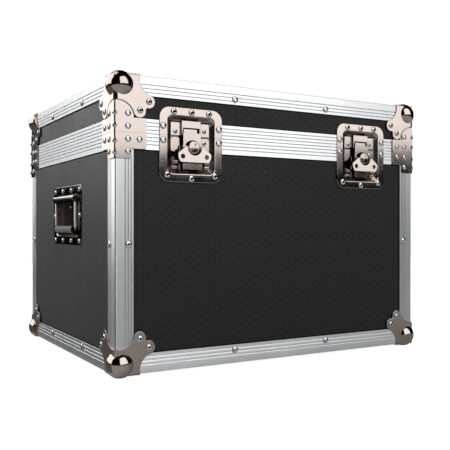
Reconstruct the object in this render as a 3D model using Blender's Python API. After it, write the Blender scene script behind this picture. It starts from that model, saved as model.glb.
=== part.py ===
"""Transport trunk: a flight case with a hinged lid, butterfly latches and recessed spring handles.

Run with: blender --background --python part.py
The case stands on its four lower ball corners, which touch z = 0. The front faces -Y.
"""

import math

import bmesh
import bpy
from mathutils import Vector
from mathutils.geometry import tessellate_polygon

MM = 0.001

# Clearances
GAP = 0.3 * MM
RUNNING_GAP = 0.25 * MM
CUP_CLEARANCE = 1 * MM

# How far joined shapes run into each other, and cutters past what they cut
MERGE = 1 * MM
CUT_MARGIN = 5 * MM

# Overall size of the case over its aluminium edges
WIDTH = 600 * MM
DEPTH = 476 * MM
HEIGHT = 450 * MM
LID_HEIGHT = 87 * MM

# Panels and the double-angle edging that holds them
PANEL = 9.4 * MM
EDGE_WIDTH = 30 * MM
EDGE_WALL = 1.5 * MM
EDGE_INNER_WALL = 1.2 * MM
EDGE_INNER_WIDTH = 28 * MM
EDGE_WEB = 1.1 * MM

# Closing rims: a tongue on the lid drops into a groove in the base
BASE_RIM_HEIGHT = 24.5 * MM
LID_RIM_HEIGHT = 22 * MM
GROOVE_INSET = 5.2 * MM
GROOVE_WIDTH = 4.5 * MM
GROOVE_DEPTH = 4.5 * MM
TONGUE_WIDTH = 3.3 * MM
TONGUE_LENGTH = 3 * MM

# Plates of sheet steel riveted over the edges
PLATE = 1.5 * MM

# Three-legged ball corners
BALL_RADIUS = 20.5 * MM
BALL_WALL = 1.5 * MM
BALL_INSET = 12 * MM
BALL_INSET_HEIGHT = 15 * MM
BALL_FLAT = 0.6 * MM
LEG_ARCH_CENTRE = (65 * MM, 5 * MM)
LEG_ARCH_RADIUS = 25.5 * MM
LEG_LOBE_CENTRE = (53.8 * MM, 39 * MM)
LEG_LOBE_RADIUS = 10.5 * MM
LEG_WAIST = 5.5 * MM

# Corner braces, cut in two at the joint between lid and base
BRACE_NARROW = 26 * MM
BRACE_WIDE = 50 * MM
BRACE_DROP = 39.5 * MM
BRACE_ARCH_GAP = 1.2 * MM
BRACE_ROUND = 4 * MM

# Butterfly latches in their dishes
LATCH_INSET = 126.8 * MM
DISH_WIDTH = 110.4 * MM
DISH_ABOVE_JOINT = 44 * MM
DISH_BELOW_JOINT = 72 * MM
DISH_SIDE_RIM = 13.9 * MM
DISH_END_RIM = 13 * MM
DISH_ROUND = 17 * MM
DISH_OPENING_ROUND = 9 * MM
DISH_SLOPE = 6 * MM
DISH_DEPTH = 7 * MM
SHEET = 0.9 * MM

STRIKE_HALF_WIDTH = 17 * MM
STRIKE_BOTTOM = 1.2 * MM
STRIKE_TOP = 24.4 * MM
STRIKE_FACE = 0.3 * MM
STRIKE_WINDOW_HALF_WIDTH = 14.7 * MM
STRIKE_WINDOW_LOW = 3.2 * MM
STRIKE_WINDOW_HIGH = 13.5 * MM
FOOT_REACH = 34 * MM

CHANNEL_HALF_WIDTH = 17.5 * MM
CHANNEL_FACE = 5.2 * MM
CHANNEL_BELOW_BOSS = 33.6 * MM
CHANNEL_ABOVE_BOSS = 4.4 * MM

BOSS_BELOW_JOINT = 18.4 * MM
BOSS_RADIUS = 10 * MM
BOSS_FACE = 11.6 * MM
SHAFT_RADIUS = 6 * MM
CRANK_THROW = 4 * MM
CRANK_PIN_RADIUS = 1.5 * MM
CRANK_SLOT_PLAY = 1.1 * MM

HOOK = 1.8 * MM
HOOK_BELOW_BOSS = 29 * MM
HOOK_TOP = 5.2 * MM
HOOK_TIP_TOP = 10.9 * MM
HOOK_TIP_RIGHT = 9 * MM

WING_FACE = 12.6 * MM
WING = 1.8 * MM
WING_PIVOT_OUT = 8.8 * MM
WING_PIN_RADIUS = 1.6 * MM
WING_CUT_RADIUS = 12.3 * MM
WING_TIP = 14.3 * MM
WING_TIP_TOP = 1.9 * MM
WING_SHOULDER = 29 * MM
WING_SHOULDER_DROP = 9.5 * MM
WING_WAIST_DROP = 15.5 * MM
WING_FOOT = 25 * MM
WING_DROP = 23.3 * MM
WING_HOLE_RADIUS = 3.6 * MM
WING_HOLE = (20.8 * MM, -14.3 * MM)
WING_LUG = 3.2 * MM
WING_LUG_DROP = 2.8 * MM

# Recessed spring handles
HANDLE_BELOW_RIM = 45.5 * MM
HANDLE_WIDTH = 160 * MM
HANDLE_HEIGHT = 104 * MM
HANDLE_ROUND = 9 * MM
HANDLE_OPENING_WIDTH = 126 * MM
HANDLE_OPENING_HEIGHT = 72 * MM
HANDLE_OPENING_ROUND = 6 * MM
HANDLE_SLOPE = 2 * MM
HANDLE_DEPTH = 15 * MM
BAIL_HALF_SPAN = 55.7 * MM
BAIL_ROD_RADIUS = 2.6 * MM
BAIL_OUT = 1.5 * MM
BARREL_BELOW_TOP = 23 * MM
BARREL_RADIUS = 6.5 * MM
BARREL_BORE = 5.2 * MM
BARREL_CAP = 2 * MM
PIVOT_RADIUS = 2.5 * MM
EAR = 1.7 * MM
EAR_HALF_HEIGHT = 4.5 * MM
GRIP_BELOW_PIVOT = 53 * MM
GRIP_RADIUS = 7 * MM
GRIP_CORE_RADIUS = 3.2 * MM
SPRING_WIRE_RADIUS = 0.6 * MM
SPRING_RADIUS = 3.75 * MM
SPRING_TURNS = 6
SPRING_PITCH = 8 * MM

# Hinges at the back
HINGE_INSET = 130 * MM
HINGE_WIDTH = 60 * MM
HINGE_LEAF = 2 * MM
LEAF_HEIGHT = 16 * MM
KNUCKLE_RADIUS = 4.6 * MM
KNUCKLE_OUT = 5.3 * MM
KNUCKLE_WIDTH = 20 * MM
HINGE_PIN_RADIUS = 2 * MM
LEAF_CLEARANCE = 0.9 * MM

# Places worked out from the sizes above
UNDERSIDE = BALL_RADIUS - BALL_INSET_HEIGHT - BALL_FLAT
TOP = UNDERSIDE + HEIGHT
JOINT = TOP - LID_HEIGHT
RIM_FLOOR = JOINT - BASE_RIM_HEIGHT
HALF_WIDTH = WIDTH / 2
HALF_DEPTH = DEPTH / 2
CENTRE_Y = (WING_FACE - KNUCKLE_OUT - KNUCKLE_RADIUS) / 2
FRONT = CENTRE_Y - HALF_DEPTH
BACK = CENTRE_Y + HALF_DEPTH
PANEL_INSET = EDGE_WALL + GAP
PANEL_BACK = PANEL_INSET + PANEL
SLOT_BACK = PANEL_BACK + GAP
PANEL_STOP = SLOT_BACK + EDGE_WEB + GAP
BOSS_HEIGHT = JOINT - BOSS_BELOW_JOINT
CHANNEL_LOW = BOSS_HEIGHT - CHANNEL_BELOW_BOSS
CHANNEL_HIGH = BOSS_HEIGHT + CHANNEL_ABOVE_BOSS
HOOK_FACE = CHANNEL_FACE - PLATE - GAP
DISH_FACE = GAP + SHEET
DISH_FLOOR = DISH_FACE - DISH_DEPTH
HANDLE_FACE = GAP + SHEET - PANEL_INSET
HANDLE_CENTRE = RIM_FLOOR - HANDLE_BELOW_RIM - HANDLE_HEIGHT / 2
PIVOT_HEIGHT = HANDLE_CENTRE + HANDLE_HEIGHT / 2 - BARREL_BELOW_TOP
GRIP_HEIGHT = PIVOT_HEIGHT - GRIP_BELOW_PIVOT
LATCH_PLACES = {"left": LATCH_INSET - HALF_WIDTH, "right": HALF_WIDTH - LATCH_INSET}
HINGE_PLACES = {"left": HINGE_INSET - HALF_WIDTH, "right": HALF_WIDTH - HINGE_INSET}
SIDES = {"left": -1, "right": 1}
ENDS = {"front": -1, "back": 1}


# Materials
def material(name, colour, roughness, metallic):
    made = bpy.data.materials.new(name)
    made.use_nodes = True
    shader = made.node_tree.nodes["Principled BSDF"]
    shader.inputs["Base Color"].default_value = (*colour, 1)
    shader.inputs["Roughness"].default_value = roughness
    shader.inputs["Metallic"].default_value = metallic
    made.diffuse_color = (*colour, 1)
    return made


# Outlines
def arc(centre, radius, start, end, steps):
    """Points along a circle from one angle to another, in degrees, both ends included."""
    angles = [math.radians(start + (end - start) * i / steps) for i in range(steps + 1)]
    return [(centre[0] + radius * math.cos(a), centre[1] + radius * math.sin(a)) for a in angles]


def circle(centre, radius, steps):
    return arc(centre, radius, 0, 360 * (steps - 1) / steps, steps - 1)


def rounded_rectangle(low, high, radius, steps=3):
    """Rectangle from low to high with rounded corners, anticlockwise from the lower right."""
    left, bottom = low[0] + radius, low[1] + radius
    right, top = high[0] - radius, high[1] - radius
    corners = ((right, bottom, -90), (right, top, 0), (left, top, 90), (left, bottom, 180))
    points = []
    for x, y, start in corners:
        points += arc((x, y), radius, start, start + 90, steps)
    return points


def rectangle(low, high):
    return [low, (high[0], low[1]), high, (low[0], high[1])]


def mirrored_outline(points):
    """The same outline on the other side of the vertical centre line, drawn the other way round."""
    return [(-x, y) for x, y in reversed(points)]


# Ways of placing a flat outline: u and v lie in the face, w goes outwards from it
def on_front(u, v, w):
    return (u, FRONT - w, v)


def on_back(u, v, w):
    return (u, BACK + w, v)


def on_left(u, v, w):
    return (-HALF_WIDTH - w, u, v)


def on_right(u, v, w):
    return (HALF_WIDTH + w, u, v)


def upright(u, v, w):
    return (u, v, w)


# Solids
def prism(outline, low, high, place, holes=()):
    """Solid between two copies of a flat outline, with holes through it."""
    loops = [outline, *holes]
    flat = [point for loop in loops for point in loop]
    triangles = tessellate_polygon([[Vector((u, v, 0)) for u, v in loop] for loop in loops])
    bm = bmesh.new()
    first = [bm.verts.new(place(u, v, low)) for u, v in flat]
    second = [bm.verts.new(place(u, v, high)) for u, v in flat]
    for a, b, c in triangles:
        bm.faces.new((first[a], first[b], first[c]))
        bm.faces.new((second[c], second[b], second[a]))
    start = 0
    for loop in loops:
        for i in range(len(loop)):
            a = start + i
            b = start + (i + 1) % len(loop)
            bm.faces.new((first[a], first[b], second[b], second[a]))
        start += len(loop)
    return bm


def box(low, high):
    return prism(rectangle(low[:2], high[:2]), low[2], high[2], upright)


def loft(loops):
    """Skin through loops with equal numbers of points, capped at both ends."""
    bm = bmesh.new()
    rows = [[bm.verts.new(point) for point in loop] for loop in loops]
    for row, following in zip(rows, rows[1:]):
        for i in range(len(row)):
            j = (i + 1) % len(row)
            bm.faces.new((row[i], row[j], following[j], following[i]))
    bm.faces.new(rows[0])
    bm.faces.new(rows[-1])
    return bm


def mitred_ring(profile):
    """A profile of (inset from the outer face, height) carried round the case."""
    bm = bmesh.new()
    rows = []
    for side, end in ((-1, -1), (1, -1), (1, 1), (-1, 1)):
        row = []
        for inset, height in profile:
            x = side * (HALF_WIDTH - inset)
            y = CENTRE_Y + end * (HALF_DEPTH - inset)
            row.append(bm.verts.new((x, y, height)))
        rows.append(row)
    for row, following in zip(rows, rows[1:] + rows[:1]):
        for i in range(len(profile)):
            j = (i + 1) % len(profile)
            bm.faces.new((row[i], following[i], following[j], row[j]))
    return bm


def rod(start, end, radius, steps=12):
    """A plain round bar between two points."""
    start, end = Vector(start), Vector(end)
    along = (end - start).normalized()
    across = along.orthogonal().normalized()
    up = along.cross(across)
    loops = []
    for middle in (start, end):
        ring = circle((0, 0), radius, steps)
        loops.append([middle + across * a + up * b for a, b in ring])
    return loft(loops)


def turned(profile, middle, steps=16):
    """A closed profile of (distance along Y, radius) turned about an axis along Y."""
    bm = bmesh.new()
    rows = []
    for i in range(steps):
        angle = 2 * math.pi * i / steps
        turn = Vector((math.cos(angle), 0, math.sin(angle)))
        places = [Vector(middle) + Vector((0, y, 0)) + turn * radius for y, radius in profile]
        rows.append([bm.verts.new(place) for place in places])
    for row, following in zip(rows, rows[1:] + rows[:1]):
        for i in range(len(profile)):
            j = (i + 1) % len(profile)
            bm.faces.new((row[i], following[i], following[j], row[j]))
    return bm


def helper(bm):
    """A stand-in object for a Boolean step."""
    bmesh.ops.recalc_face_normals(bm, faces=bm.faces)
    mesh = bpy.data.meshes.new("helper")
    bm.to_mesh(mesh)
    bm.free()
    made = bpy.data.objects.new("helper", mesh)
    bpy.context.collection.objects.link(made)
    return made


def combined(first, *steps):
    """The first solid after each (operation, solid) in turn."""
    target = helper(first)
    tools = []
    for operation, solid in steps:
        tool = helper(solid)
        modifier = target.modifiers.new(operation.title(), "BOOLEAN")
        modifier.operation = operation
        modifier.object = tool
        tools.append(tool)
    bpy.context.view_layer.update()
    graph = bpy.context.evaluated_depsgraph_get()
    mesh = bpy.data.meshes.new_from_object(target.evaluated_get(graph))
    bm = bmesh.new()
    bm.from_mesh(mesh)
    bpy.data.meshes.remove(mesh)
    for used in (target, *tools):
        data = used.data
        bpy.data.objects.remove(used)
        bpy.data.meshes.remove(data)
    return bm


def union(first, *others):
    return combined(first, *(("UNION", other) for other in others))


def without(first, *others):
    return combined(first, *(("DIFFERENCE", other) for other in others))


def keep(bm, height, upper):
    """The part of a solid above or below a level, closed where it is cut."""
    geometry = bm.verts[:] + bm.edges[:] + bm.faces[:]
    cut = bmesh.ops.bisect_plane(
        bm,
        geom=geometry,
        plane_co=(0, 0, height),
        plane_no=(0, 0, 1),
        clear_inner=upper,
        clear_outer=not upper,
    )
    edges = [item for item in cut["geom_cut"] if isinstance(item, bmesh.types.BMEdge)]
    bmesh.ops.edgeloop_fill(bm, edges=edges)
    return bm


# Objects
def empty(name, place, parent=None):
    made = bpy.data.objects.new(name, None)
    bpy.context.collection.objects.link(made)
    made.empty_display_size = 20 * MM
    made.parent = parent
    made.location = Vector(place) - world_place(parent)
    return made


def world_place(obj):
    return world_place(obj.parent) + obj.location if obj else Vector((0, 0, 0))


def piece(name, bm, finish, parent, origin=None):
    """An object made of a solid in world places, with its own origin where stated."""
    origin = Vector(origin) if origin else world_place(parent)
    bmesh.ops.translate(bm, vec=-origin, verts=bm.verts)
    bmesh.ops.recalc_face_normals(bm, faces=bm.faces)
    mesh = bpy.data.meshes.new(name)
    bm.to_mesh(mesh)
    bm.free()
    mesh.materials.append(finish)
    mesh.shade_smooth()
    mesh.set_sharp_from_angle(angle=math.radians(35))
    made = bpy.data.objects.new(name, mesh)
    bpy.context.collection.objects.link(made)
    made.parent = parent
    made.location = origin - world_place(parent)
    return made


# Panels
def notched_panel(half_width, low, high, notch, upwards):
    """A front panel with a notch for each latch dish, open at the closing joint."""
    points = []
    edge, root = (high, low) if upwards else (low, high)
    half = DISH_WIDTH / 2 - DISH_SIDE_RIM + CUP_CLEARANCE
    for x in sorted(LATCH_PLACES.values(), reverse=True):
        points += [(x + half, edge), (x + half, notch), (x - half, notch), (x - half, edge)]
    ends = [(-half_width, edge), (-half_width, root), (half_width, root), (half_width, edge)]
    return ends + points


def handle_hole():
    """The hole in a side panel behind a handle dish."""
    half_width = HANDLE_OPENING_WIDTH / 2 + SHEET + CUP_CLEARANCE
    half_height = HANDLE_OPENING_HEIGHT / 2 + SHEET + CUP_CLEARANCE
    low = (CENTRE_Y - half_width, HANDLE_CENTRE - half_height)
    high = (CENTRE_Y + half_width, HANDLE_CENTRE + half_height)
    return rectangle(low, high)[::-1]


def make_panels(base, lid, laminate):
    half_width = HALF_WIDTH - PANEL_STOP
    half_depth = HALF_DEPTH - PANEL_STOP
    depth = (-PANEL_BACK, -PANEL_INSET)
    low = UNDERSIDE + PANEL_STOP
    high = JOINT - GROOVE_DEPTH - EDGE_WALL - 2 * GAP
    lid_low = JOINT + GAP / 2 + EDGE_WALL + GAP
    lid_high = TOP - PANEL_STOP
    notch = JOINT - DISH_BELOW_JOINT + DISH_END_RIM - CUP_CLEARANCE
    lid_notch = JOINT + DISH_ABOVE_JOINT - DISH_END_RIM + CUP_CLEARANCE
    front = notched_panel(half_width, low, high, notch, True)
    lid_front = notched_panel(half_width, lid_low, lid_high, lid_notch, False)
    back = rectangle((-half_width, low), (half_width, high))
    lid_back = rectangle((-half_width, lid_low), (half_width, lid_high))
    side_low = (CENTRE_Y - half_depth, low)
    side = rectangle(side_low, (CENTRE_Y + half_depth, high))
    lid_side = rectangle((CENTRE_Y - half_depth, lid_low), (CENTRE_Y + half_depth, lid_high))
    flat = rectangle((-half_width, CENTRE_Y - half_depth), (half_width, CENTRE_Y + half_depth))
    piece("panel_front", prism(front, *depth, on_front), laminate, base)
    piece("panel_back", prism(back, *depth, on_back), laminate, base)
    piece("panel_left", prism(side, *depth, on_left, [handle_hole()]), laminate, base)
    piece("panel_right", prism(side, *depth, on_right, [handle_hole()]), laminate, base)
    bottom = prism(flat, UNDERSIDE + PANEL_INSET, UNDERSIDE + PANEL_BACK, upright)
    piece("panel_bottom", bottom, laminate, base)
    piece("lid_panel_front", prism(lid_front, *depth, on_front), laminate, lid)
    piece("lid_panel_back", prism(lid_back, *depth, on_back), laminate, lid)
    piece("lid_panel_left", prism(lid_side, *depth, on_left), laminate, lid)
    piece("lid_panel_right", prism(lid_side, *depth, on_right), laminate, lid)
    piece("lid_panel_top", prism(flat, TOP - PANEL_BACK, TOP - PANEL_INSET, upright), laminate, lid)


# Aluminium edging
def double_angle():
    """Section of the double-angle edging: outer and inner angles joined by a web at the corner."""
    inner = SLOT_BACK + EDGE_INNER_WALL
    half = [
        (EDGE_WIDTH, 0),
        (EDGE_WIDTH, EDGE_WALL),
        (EDGE_WALL + EDGE_WEB, EDGE_WALL),
        (SLOT_BACK + EDGE_WEB, SLOT_BACK),
        (EDGE_INNER_WIDTH, SLOT_BACK),
        (EDGE_INNER_WIDTH, inner),
    ]
    return [(0, 0), *half, (inner, inner), *[(b, a) for a, b in reversed(half)]]


def upright_edging(side, end, low, high):
    section = double_angle()
    outline = [(side * (HALF_WIDTH - a), CENTRE_Y + end * (HALF_DEPTH - b)) for a, b in section]
    return prism(outline, low, high, upright)


def rim_notches():
    """The room cut in a closing rim for the two latch dishes."""
    half = DISH_WIDTH / 2 - DISH_SIDE_RIM + CUP_CLEARANCE
    depth = SHEET - DISH_FLOOR + 2 * GAP
    cuts = []
    for x in LATCH_PLACES.values():
        low = (x - half, FRONT - CUT_MARGIN, RIM_FLOOR - CUT_MARGIN)
        high = (x + half, FRONT + depth, JOINT + LID_RIM_HEIGHT + CUT_MARGIN)
        cuts.append(box(low, high))
    return cuts


def make_edging(base, lid, aluminium):
    section = double_angle()
    lower = [(a, UNDERSIDE + b) for a, b in section]
    upper = [(a, TOP - b) for a, b in section]
    piece("edge_bottom", mitred_ring(lower), aluminium, base)
    piece("edge_top", mitred_ring(upper), aluminium, lid)
    low = UNDERSIDE + EDGE_WIDTH + GAP
    for side_name, side in SIDES.items():
        for end_name, end in ENDS.items():
            name = f"edge_upright_{end_name}_{side_name}"
            piece(name, upright_edging(side, end, low, RIM_FLOOR - GAP), aluminium, base)

    inner = SLOT_BACK + EDGE_WALL
    face = JOINT - GAP / 2
    groove_end = GROOVE_INSET + GROOVE_WIDTH
    floor = face - GROOVE_DEPTH
    base_section = [
        (0, RIM_FLOOR),
        (0, face),
        (GROOVE_INSET, face),
        (GROOVE_INSET, floor),
        (groove_end, floor),
        (groove_end, face),
        (inner, face),
        (inner, RIM_FLOOR),
        (SLOT_BACK, RIM_FLOOR),
        (SLOT_BACK, floor - EDGE_WALL),
        (GROOVE_INSET - EDGE_WALL, floor - EDGE_WALL),
        (GROOVE_INSET - EDGE_WALL, face - EDGE_WALL),
        (EDGE_WALL, face - EDGE_WALL),
        (EDGE_WALL, RIM_FLOOR),
    ]
    piece("rim_base", without(mitred_ring(base_section), *rim_notches()), aluminium, base)

    face = JOINT + GAP / 2
    high = JOINT + LID_RIM_HEIGHT
    tongue = GROOVE_INSET + (GROOVE_WIDTH - TONGUE_WIDTH) / 2
    lid_section = [
        (0, high),
        (0, face),
        (tongue, face),
        (tongue, face - TONGUE_LENGTH),
        (tongue + TONGUE_WIDTH, face - TONGUE_LENGTH),
        (tongue + TONGUE_WIDTH, face),
        (inner, face),
        (inner, high),
        (SLOT_BACK, high),
        (SLOT_BACK, face + EDGE_WALL),
        (EDGE_WALL, face + EDGE_WALL),
        (EDGE_WALL, high),
    ]
    corners = []
    for side in SIDES.values():
        for end in ENDS.values():
            corners.append(upright_edging(side, end, high - EDGE_WALL, TOP - EDGE_WIDTH - GAP))
    rim = union(mitred_ring(lid_section), *corners)
    piece("rim_lid", without(rim, *rim_notches()), aluminium, lid)


# Corner hardware, worked out inwards from a corner of the case: u, v and w point into it
def leg_outline():
    """One leg of a ball corner: an arch on each side of two rivet lobes, with a notch between the lobes."""
    proud = GAP + PLATE
    arch_x, arch_y = LEG_ARCH_CENTRE
    lobe_x, lobe_y = LEG_LOBE_CENTRE
    apart = math.hypot(arch_x - lobe_x, arch_y - lobe_y)
    towards = math.degrees(math.atan2(lobe_y - arch_y, lobe_x - arch_x))
    squares = LEG_ARCH_RADIUS**2 + apart**2 - LEG_LOBE_RADIUS**2
    meets = towards + math.degrees(math.acos(squares / (2 * LEG_ARCH_RADIUS * apart)))
    begins = 180 + math.degrees(math.asin(arch_y / LEG_ARCH_RADIUS))
    half = arc(LEG_ARCH_CENTRE, LEG_ARCH_RADIUS, begins, meets, 5)
    start = math.degrees(math.atan2(half[-1][1] - lobe_y, half[-1][0] - lobe_x))
    waist = 135 - math.degrees(math.asin(LEG_WAIST / LEG_LOBE_RADIUS))
    half += arc(LEG_LOBE_CENTRE, LEG_LOBE_RADIUS, start, waist, 7)[1:]
    edge = half[0][0]
    other = [(b, a) for a, b in reversed(half)]
    return [(-proud, -proud), (edge, -proud), *half, *other, (-proud, edge)]


def sphere(centre, radius, around, rings):
    bm = bmesh.new()
    bmesh.ops.create_uvsphere(bm, u_segments=around, v_segments=rings, radius=radius)
    bmesh.ops.translate(bm, vec=centre, verts=bm.verts)
    return bm


def ball_corner(flattened):
    """A hollow ball with three legs of plate, cut to sit over the corner of the case."""
    outline = leg_outline()
    plate = (-GAP - PLATE, -GAP)
    side_plate = prism(outline, *plate, lambda u, v, w: (w, u, v))
    end_plate = prism(outline, *plate, lambda u, v, w: (u, w, v))
    level_plate = prism(outline, *plate, lambda u, v, w: (u, v, w))
    centre = (BALL_INSET, BALL_INSET, BALL_INSET_HEIGHT)
    ball = sphere(centre, BALL_RADIUS, 20, 11)
    hollow = sphere(centre, BALL_RADIUS - BALL_WALL, 12, 7)
    far = LEG_ARCH_CENTRE[0] + LEG_ARCH_RADIUS
    case = box((-GAP,) * 3, (far,) * 3)
    made = without(union(side_plate, end_plate, level_plate, ball), hollow, case)
    if not flattened:
        return made
    return without(made, box((-far, -far, -far), (far, far, -UNDERSIDE)))


def brace(upper):
    """Half of a corner brace: plate on both faces round an upright edge, w upwards from the joint."""
    proud = GAP + PLATE
    if upper:
        start = GAP / 2
        shoulder = LID_RIM_HEIGHT + GAP
        arch_down, arch_in = LEG_ARCH_CENTRE
        radius = LEG_ARCH_RADIUS - BRACE_ARCH_GAP
        begins = math.degrees(math.acos((BRACE_NARROW - arch_in) / radius))
        ends = math.degrees(math.acos((-proud - arch_in) / radius))
        dome = arc((arch_in, LID_HEIGHT - arch_down), radius, begins, ends, 8)
        outline = [(-proud, start), (BRACE_WIDE, start), (BRACE_WIDE, shoulder)]
        outline += [(BRACE_NARROW, shoulder), *dome]
    else:
        start = -GAP / 2
        shoulder = -BASE_RIM_HEIGHT
        end = -BRACE_DROP
        corner = arc((BRACE_NARROW - BRACE_ROUND, end + BRACE_ROUND), BRACE_ROUND, 0, -90, 3)
        outline = [(-proud, start), (-proud, end), *corner[::-1], (BRACE_NARROW, shoulder)]
        outline += [(BRACE_WIDE, shoulder), (BRACE_WIDE, start)]
    end_plate = prism(outline, -proud, -GAP, lambda u, v, w: (u, w, v))
    inset = [(max(u, -proud + PLATE / 3), v) for u, v in outline]
    side_plate = prism(inset, -proud, -GAP, lambda u, v, w: (w, u, v))
    return union(end_plate, side_plate)


def at_corner(mesh_source, side, end, height, upwards):
    """A copy of a corner piece turned to one corner of the case."""
    bm = mesh_source.copy()
    for vert in bm.verts:
        u, v, w = vert.co
        x = side * (HALF_WIDTH - u)
        y = CENTRE_Y + end * (HALF_DEPTH - v)
        vert.co = (x, y, height + w * upwards)
    return bm


def make_corners(base, lid, nickel):
    lower_ball = ball_corner(True)
    upper_ball = ball_corner(False)
    upper_brace = brace(True)
    lower_brace = brace(False)
    for side_name, side in SIDES.items():
        for end_name, end in ENDS.items():
            where = f"{end_name}_{side_name}"
            x = side * HALF_WIDTH
            y = CENTRE_Y + end * HALF_DEPTH
            lower = at_corner(lower_ball, side, end, UNDERSIDE, 1)
            piece(f"ball_corner_bottom_{where}", lower, nickel, base, (x, y, UNDERSIDE))
            upper = at_corner(upper_ball, side, end, TOP, -1)
            piece(f"ball_corner_top_{where}", upper, nickel, lid, (x, y, TOP))
            half = at_corner(lower_brace, side, end, JOINT, 1)
            piece(f"corner_brace_base_{where}", half, nickel, base, (x, y, JOINT))
            half = at_corner(upper_brace, side, end, JOINT, 1)
            piece(f"corner_brace_lid_{where}", half, nickel, lid, (x, y, JOINT))
    for used in (lower_ball, upper_ball, upper_brace, lower_brace):
        used.free()


# Latches
def dish(place, low, high, rims, rounds, slope, levels):
    """A pressed dish: a flat rim round a sloping-sided cup, as one skin of sheet steel."""
    face, floor = levels
    side_rim, end_rim = rims
    outer_round, inner_round = rounds

    def loop(inset_u, inset_v, radius, level):
        corner = (low[0] + inset_u, low[1] + inset_v)
        opposite = (high[0] - inset_u, high[1] - inset_v)
        return [place(u, v, level) for u, v in rounded_rectangle(corner, opposite, radius)]

    loops = [
        loop(side_rim + slope, end_rim + slope, inner_round, floor),
        loop(side_rim, end_rim, inner_round, face),
        loop(0, 0, outer_round, face),
        loop(0, 0, outer_round, face - SHEET),
        loop(side_rim - SHEET, end_rim - SHEET, inner_round + SHEET, face - SHEET),
        loop(side_rim + slope - SHEET, end_rim + slope - SHEET, inner_round + SHEET, floor - SHEET),
    ]
    return loft(loops)


def latch_dish(x):
    low = (x - DISH_WIDTH / 2, JOINT - DISH_BELOW_JOINT)
    high = (x + DISH_WIDTH / 2, JOINT + DISH_ABOVE_JOINT)
    rims = (DISH_SIDE_RIM, DISH_END_RIM)
    rounds = (DISH_ROUND, DISH_OPENING_ROUND)
    return dish(on_front, low, high, rims, rounds, DISH_SLOPE, (DISH_FACE, DISH_FLOOR))


def hat_section(x, half_width, face):
    """Section of a raised bridge with a foot on the dish floor at each side, seen from above."""
    foot = DISH_FLOOR + GAP
    half = [
        (FOOT_REACH, foot),
        (FOOT_REACH, foot + PLATE),
        (half_width, foot + PLATE),
        (half_width, face),
    ]
    inner = [(half_width - PLATE, face - PLATE), (half_width - PLATE, foot)]
    points = half + mirrored_outline(half) + mirrored_outline(inner) + inner
    return [(x + u, FRONT - w) for u, w in points]


def dish_room(x):
    """The room over the floor of a latch dish, which rounds off the feet that stand in it."""
    inset = DISH_SLOPE + CUP_CLEARANCE
    half = DISH_WIDTH / 2 - DISH_SIDE_RIM - inset
    low = (x - half, JOINT - DISH_BELOW_JOINT + DISH_END_RIM + inset)
    high = (x + half, JOINT + DISH_ABOVE_JOINT - DISH_END_RIM - inset)
    outline = rounded_rectangle(low, high, DISH_OPENING_ROUND - CUP_CLEARANCE)
    return prism(outline, DISH_FLOOR, CHANNEL_FACE + CUT_MARGIN, on_front)


def strike(x):
    """The strike on the lid, with the window that the hook catches in."""
    low = JOINT + STRIKE_BOTTOM
    plate = prism(hat_section(x, STRIKE_HALF_WIDTH, STRIKE_FACE), low, JOINT + STRIKE_TOP, upright)
    half = STRIKE_WINDOW_HALF_WIDTH
    start = (x - half, FRONT - CUT_MARGIN, JOINT + STRIKE_WINDOW_LOW)
    window = box(start, (x + half, FRONT - STRIKE_FACE + 2 * PLATE, JOINT + STRIKE_WINDOW_HIGH))
    return combined(plate, ("DIFFERENCE", window), ("INTERSECT", dish_room(x)))


def channel(x):
    """The latch's base: a raised channel that guides the hook and carries the boss."""
    section = hat_section(x, CHANNEL_HALF_WIDTH, CHANNEL_FACE)
    plate = prism(section, CHANNEL_LOW, CHANNEL_HIGH, upright)
    bore = circle((x, BOSS_HEIGHT), SHAFT_RADIUS + RUNNING_GAP, 16)
    hole = prism(bore, 0, CHANNEL_FACE + CUT_MARGIN, on_front)
    return combined(plate, ("DIFFERENCE", hole), ("INTERSECT", dish_room(x)))


def hook(x):
    """The sliding hook plate, with a slot for the crank pin and a tip in front of the strike."""
    half = CHANNEL_HALF_WIDTH - PLATE - GAP
    low = BOSS_HEIGHT - HOOK_BELOW_BOSS
    outline = rectangle((x - half, low), (x + half, JOINT + HOOK_TOP))
    crank = BOSS_HEIGHT - CRANK_THROW
    reach = CRANK_THROW + CRANK_PIN_RADIUS + CRANK_SLOT_PLAY
    play = CRANK_PIN_RADIUS + CRANK_SLOT_PLAY
    slot = rectangle((x - reach, crank - play), (x + reach, crank + play))[::-1]
    plate = prism(outline, HOOK_FACE - HOOK, HOOK_FACE, on_front, [slot])
    tip_low = (x - STRIKE_WINDOW_HALF_WIDTH, JOINT + HOOK_TOP - 2 * MERGE)
    tip = rectangle(tip_low, (x + HOOK_TIP_RIGHT, JOINT + HOOK_TIP_TOP))
    face = STRIKE_FACE + GAP
    return union(plate, prism(tip, face, face + HOOK, on_front))


def boss(x):
    """The turning boss: knob, shaft through the channel, crank pin and wing pin."""
    back = HOOK_FACE + GAP / 2
    knob_back = CHANNEL_FACE + GAP
    knob = prism(circle((x, BOSS_HEIGHT), BOSS_RADIUS, 24), knob_back, BOSS_FACE, on_front)
    shaft = prism(circle((x, BOSS_HEIGHT), SHAFT_RADIUS, 16), back, BOSS_FACE - MERGE, on_front)
    crank = circle((x, BOSS_HEIGHT - CRANK_THROW), CRANK_PIN_RADIUS, 10)
    pin = prism(crank, HOOK_FACE - HOOK - GAP, CHANNEL_FACE, on_front)
    out = FRONT - WING_PIVOT_OUT
    half = WING_TIP - GAP
    axle = rod((x - half, out, BOSS_HEIGHT), (x + half, out, BOSS_HEIGHT), WING_PIN_RADIUS, 10)
    return union(knob, shaft, pin, axle)


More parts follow.
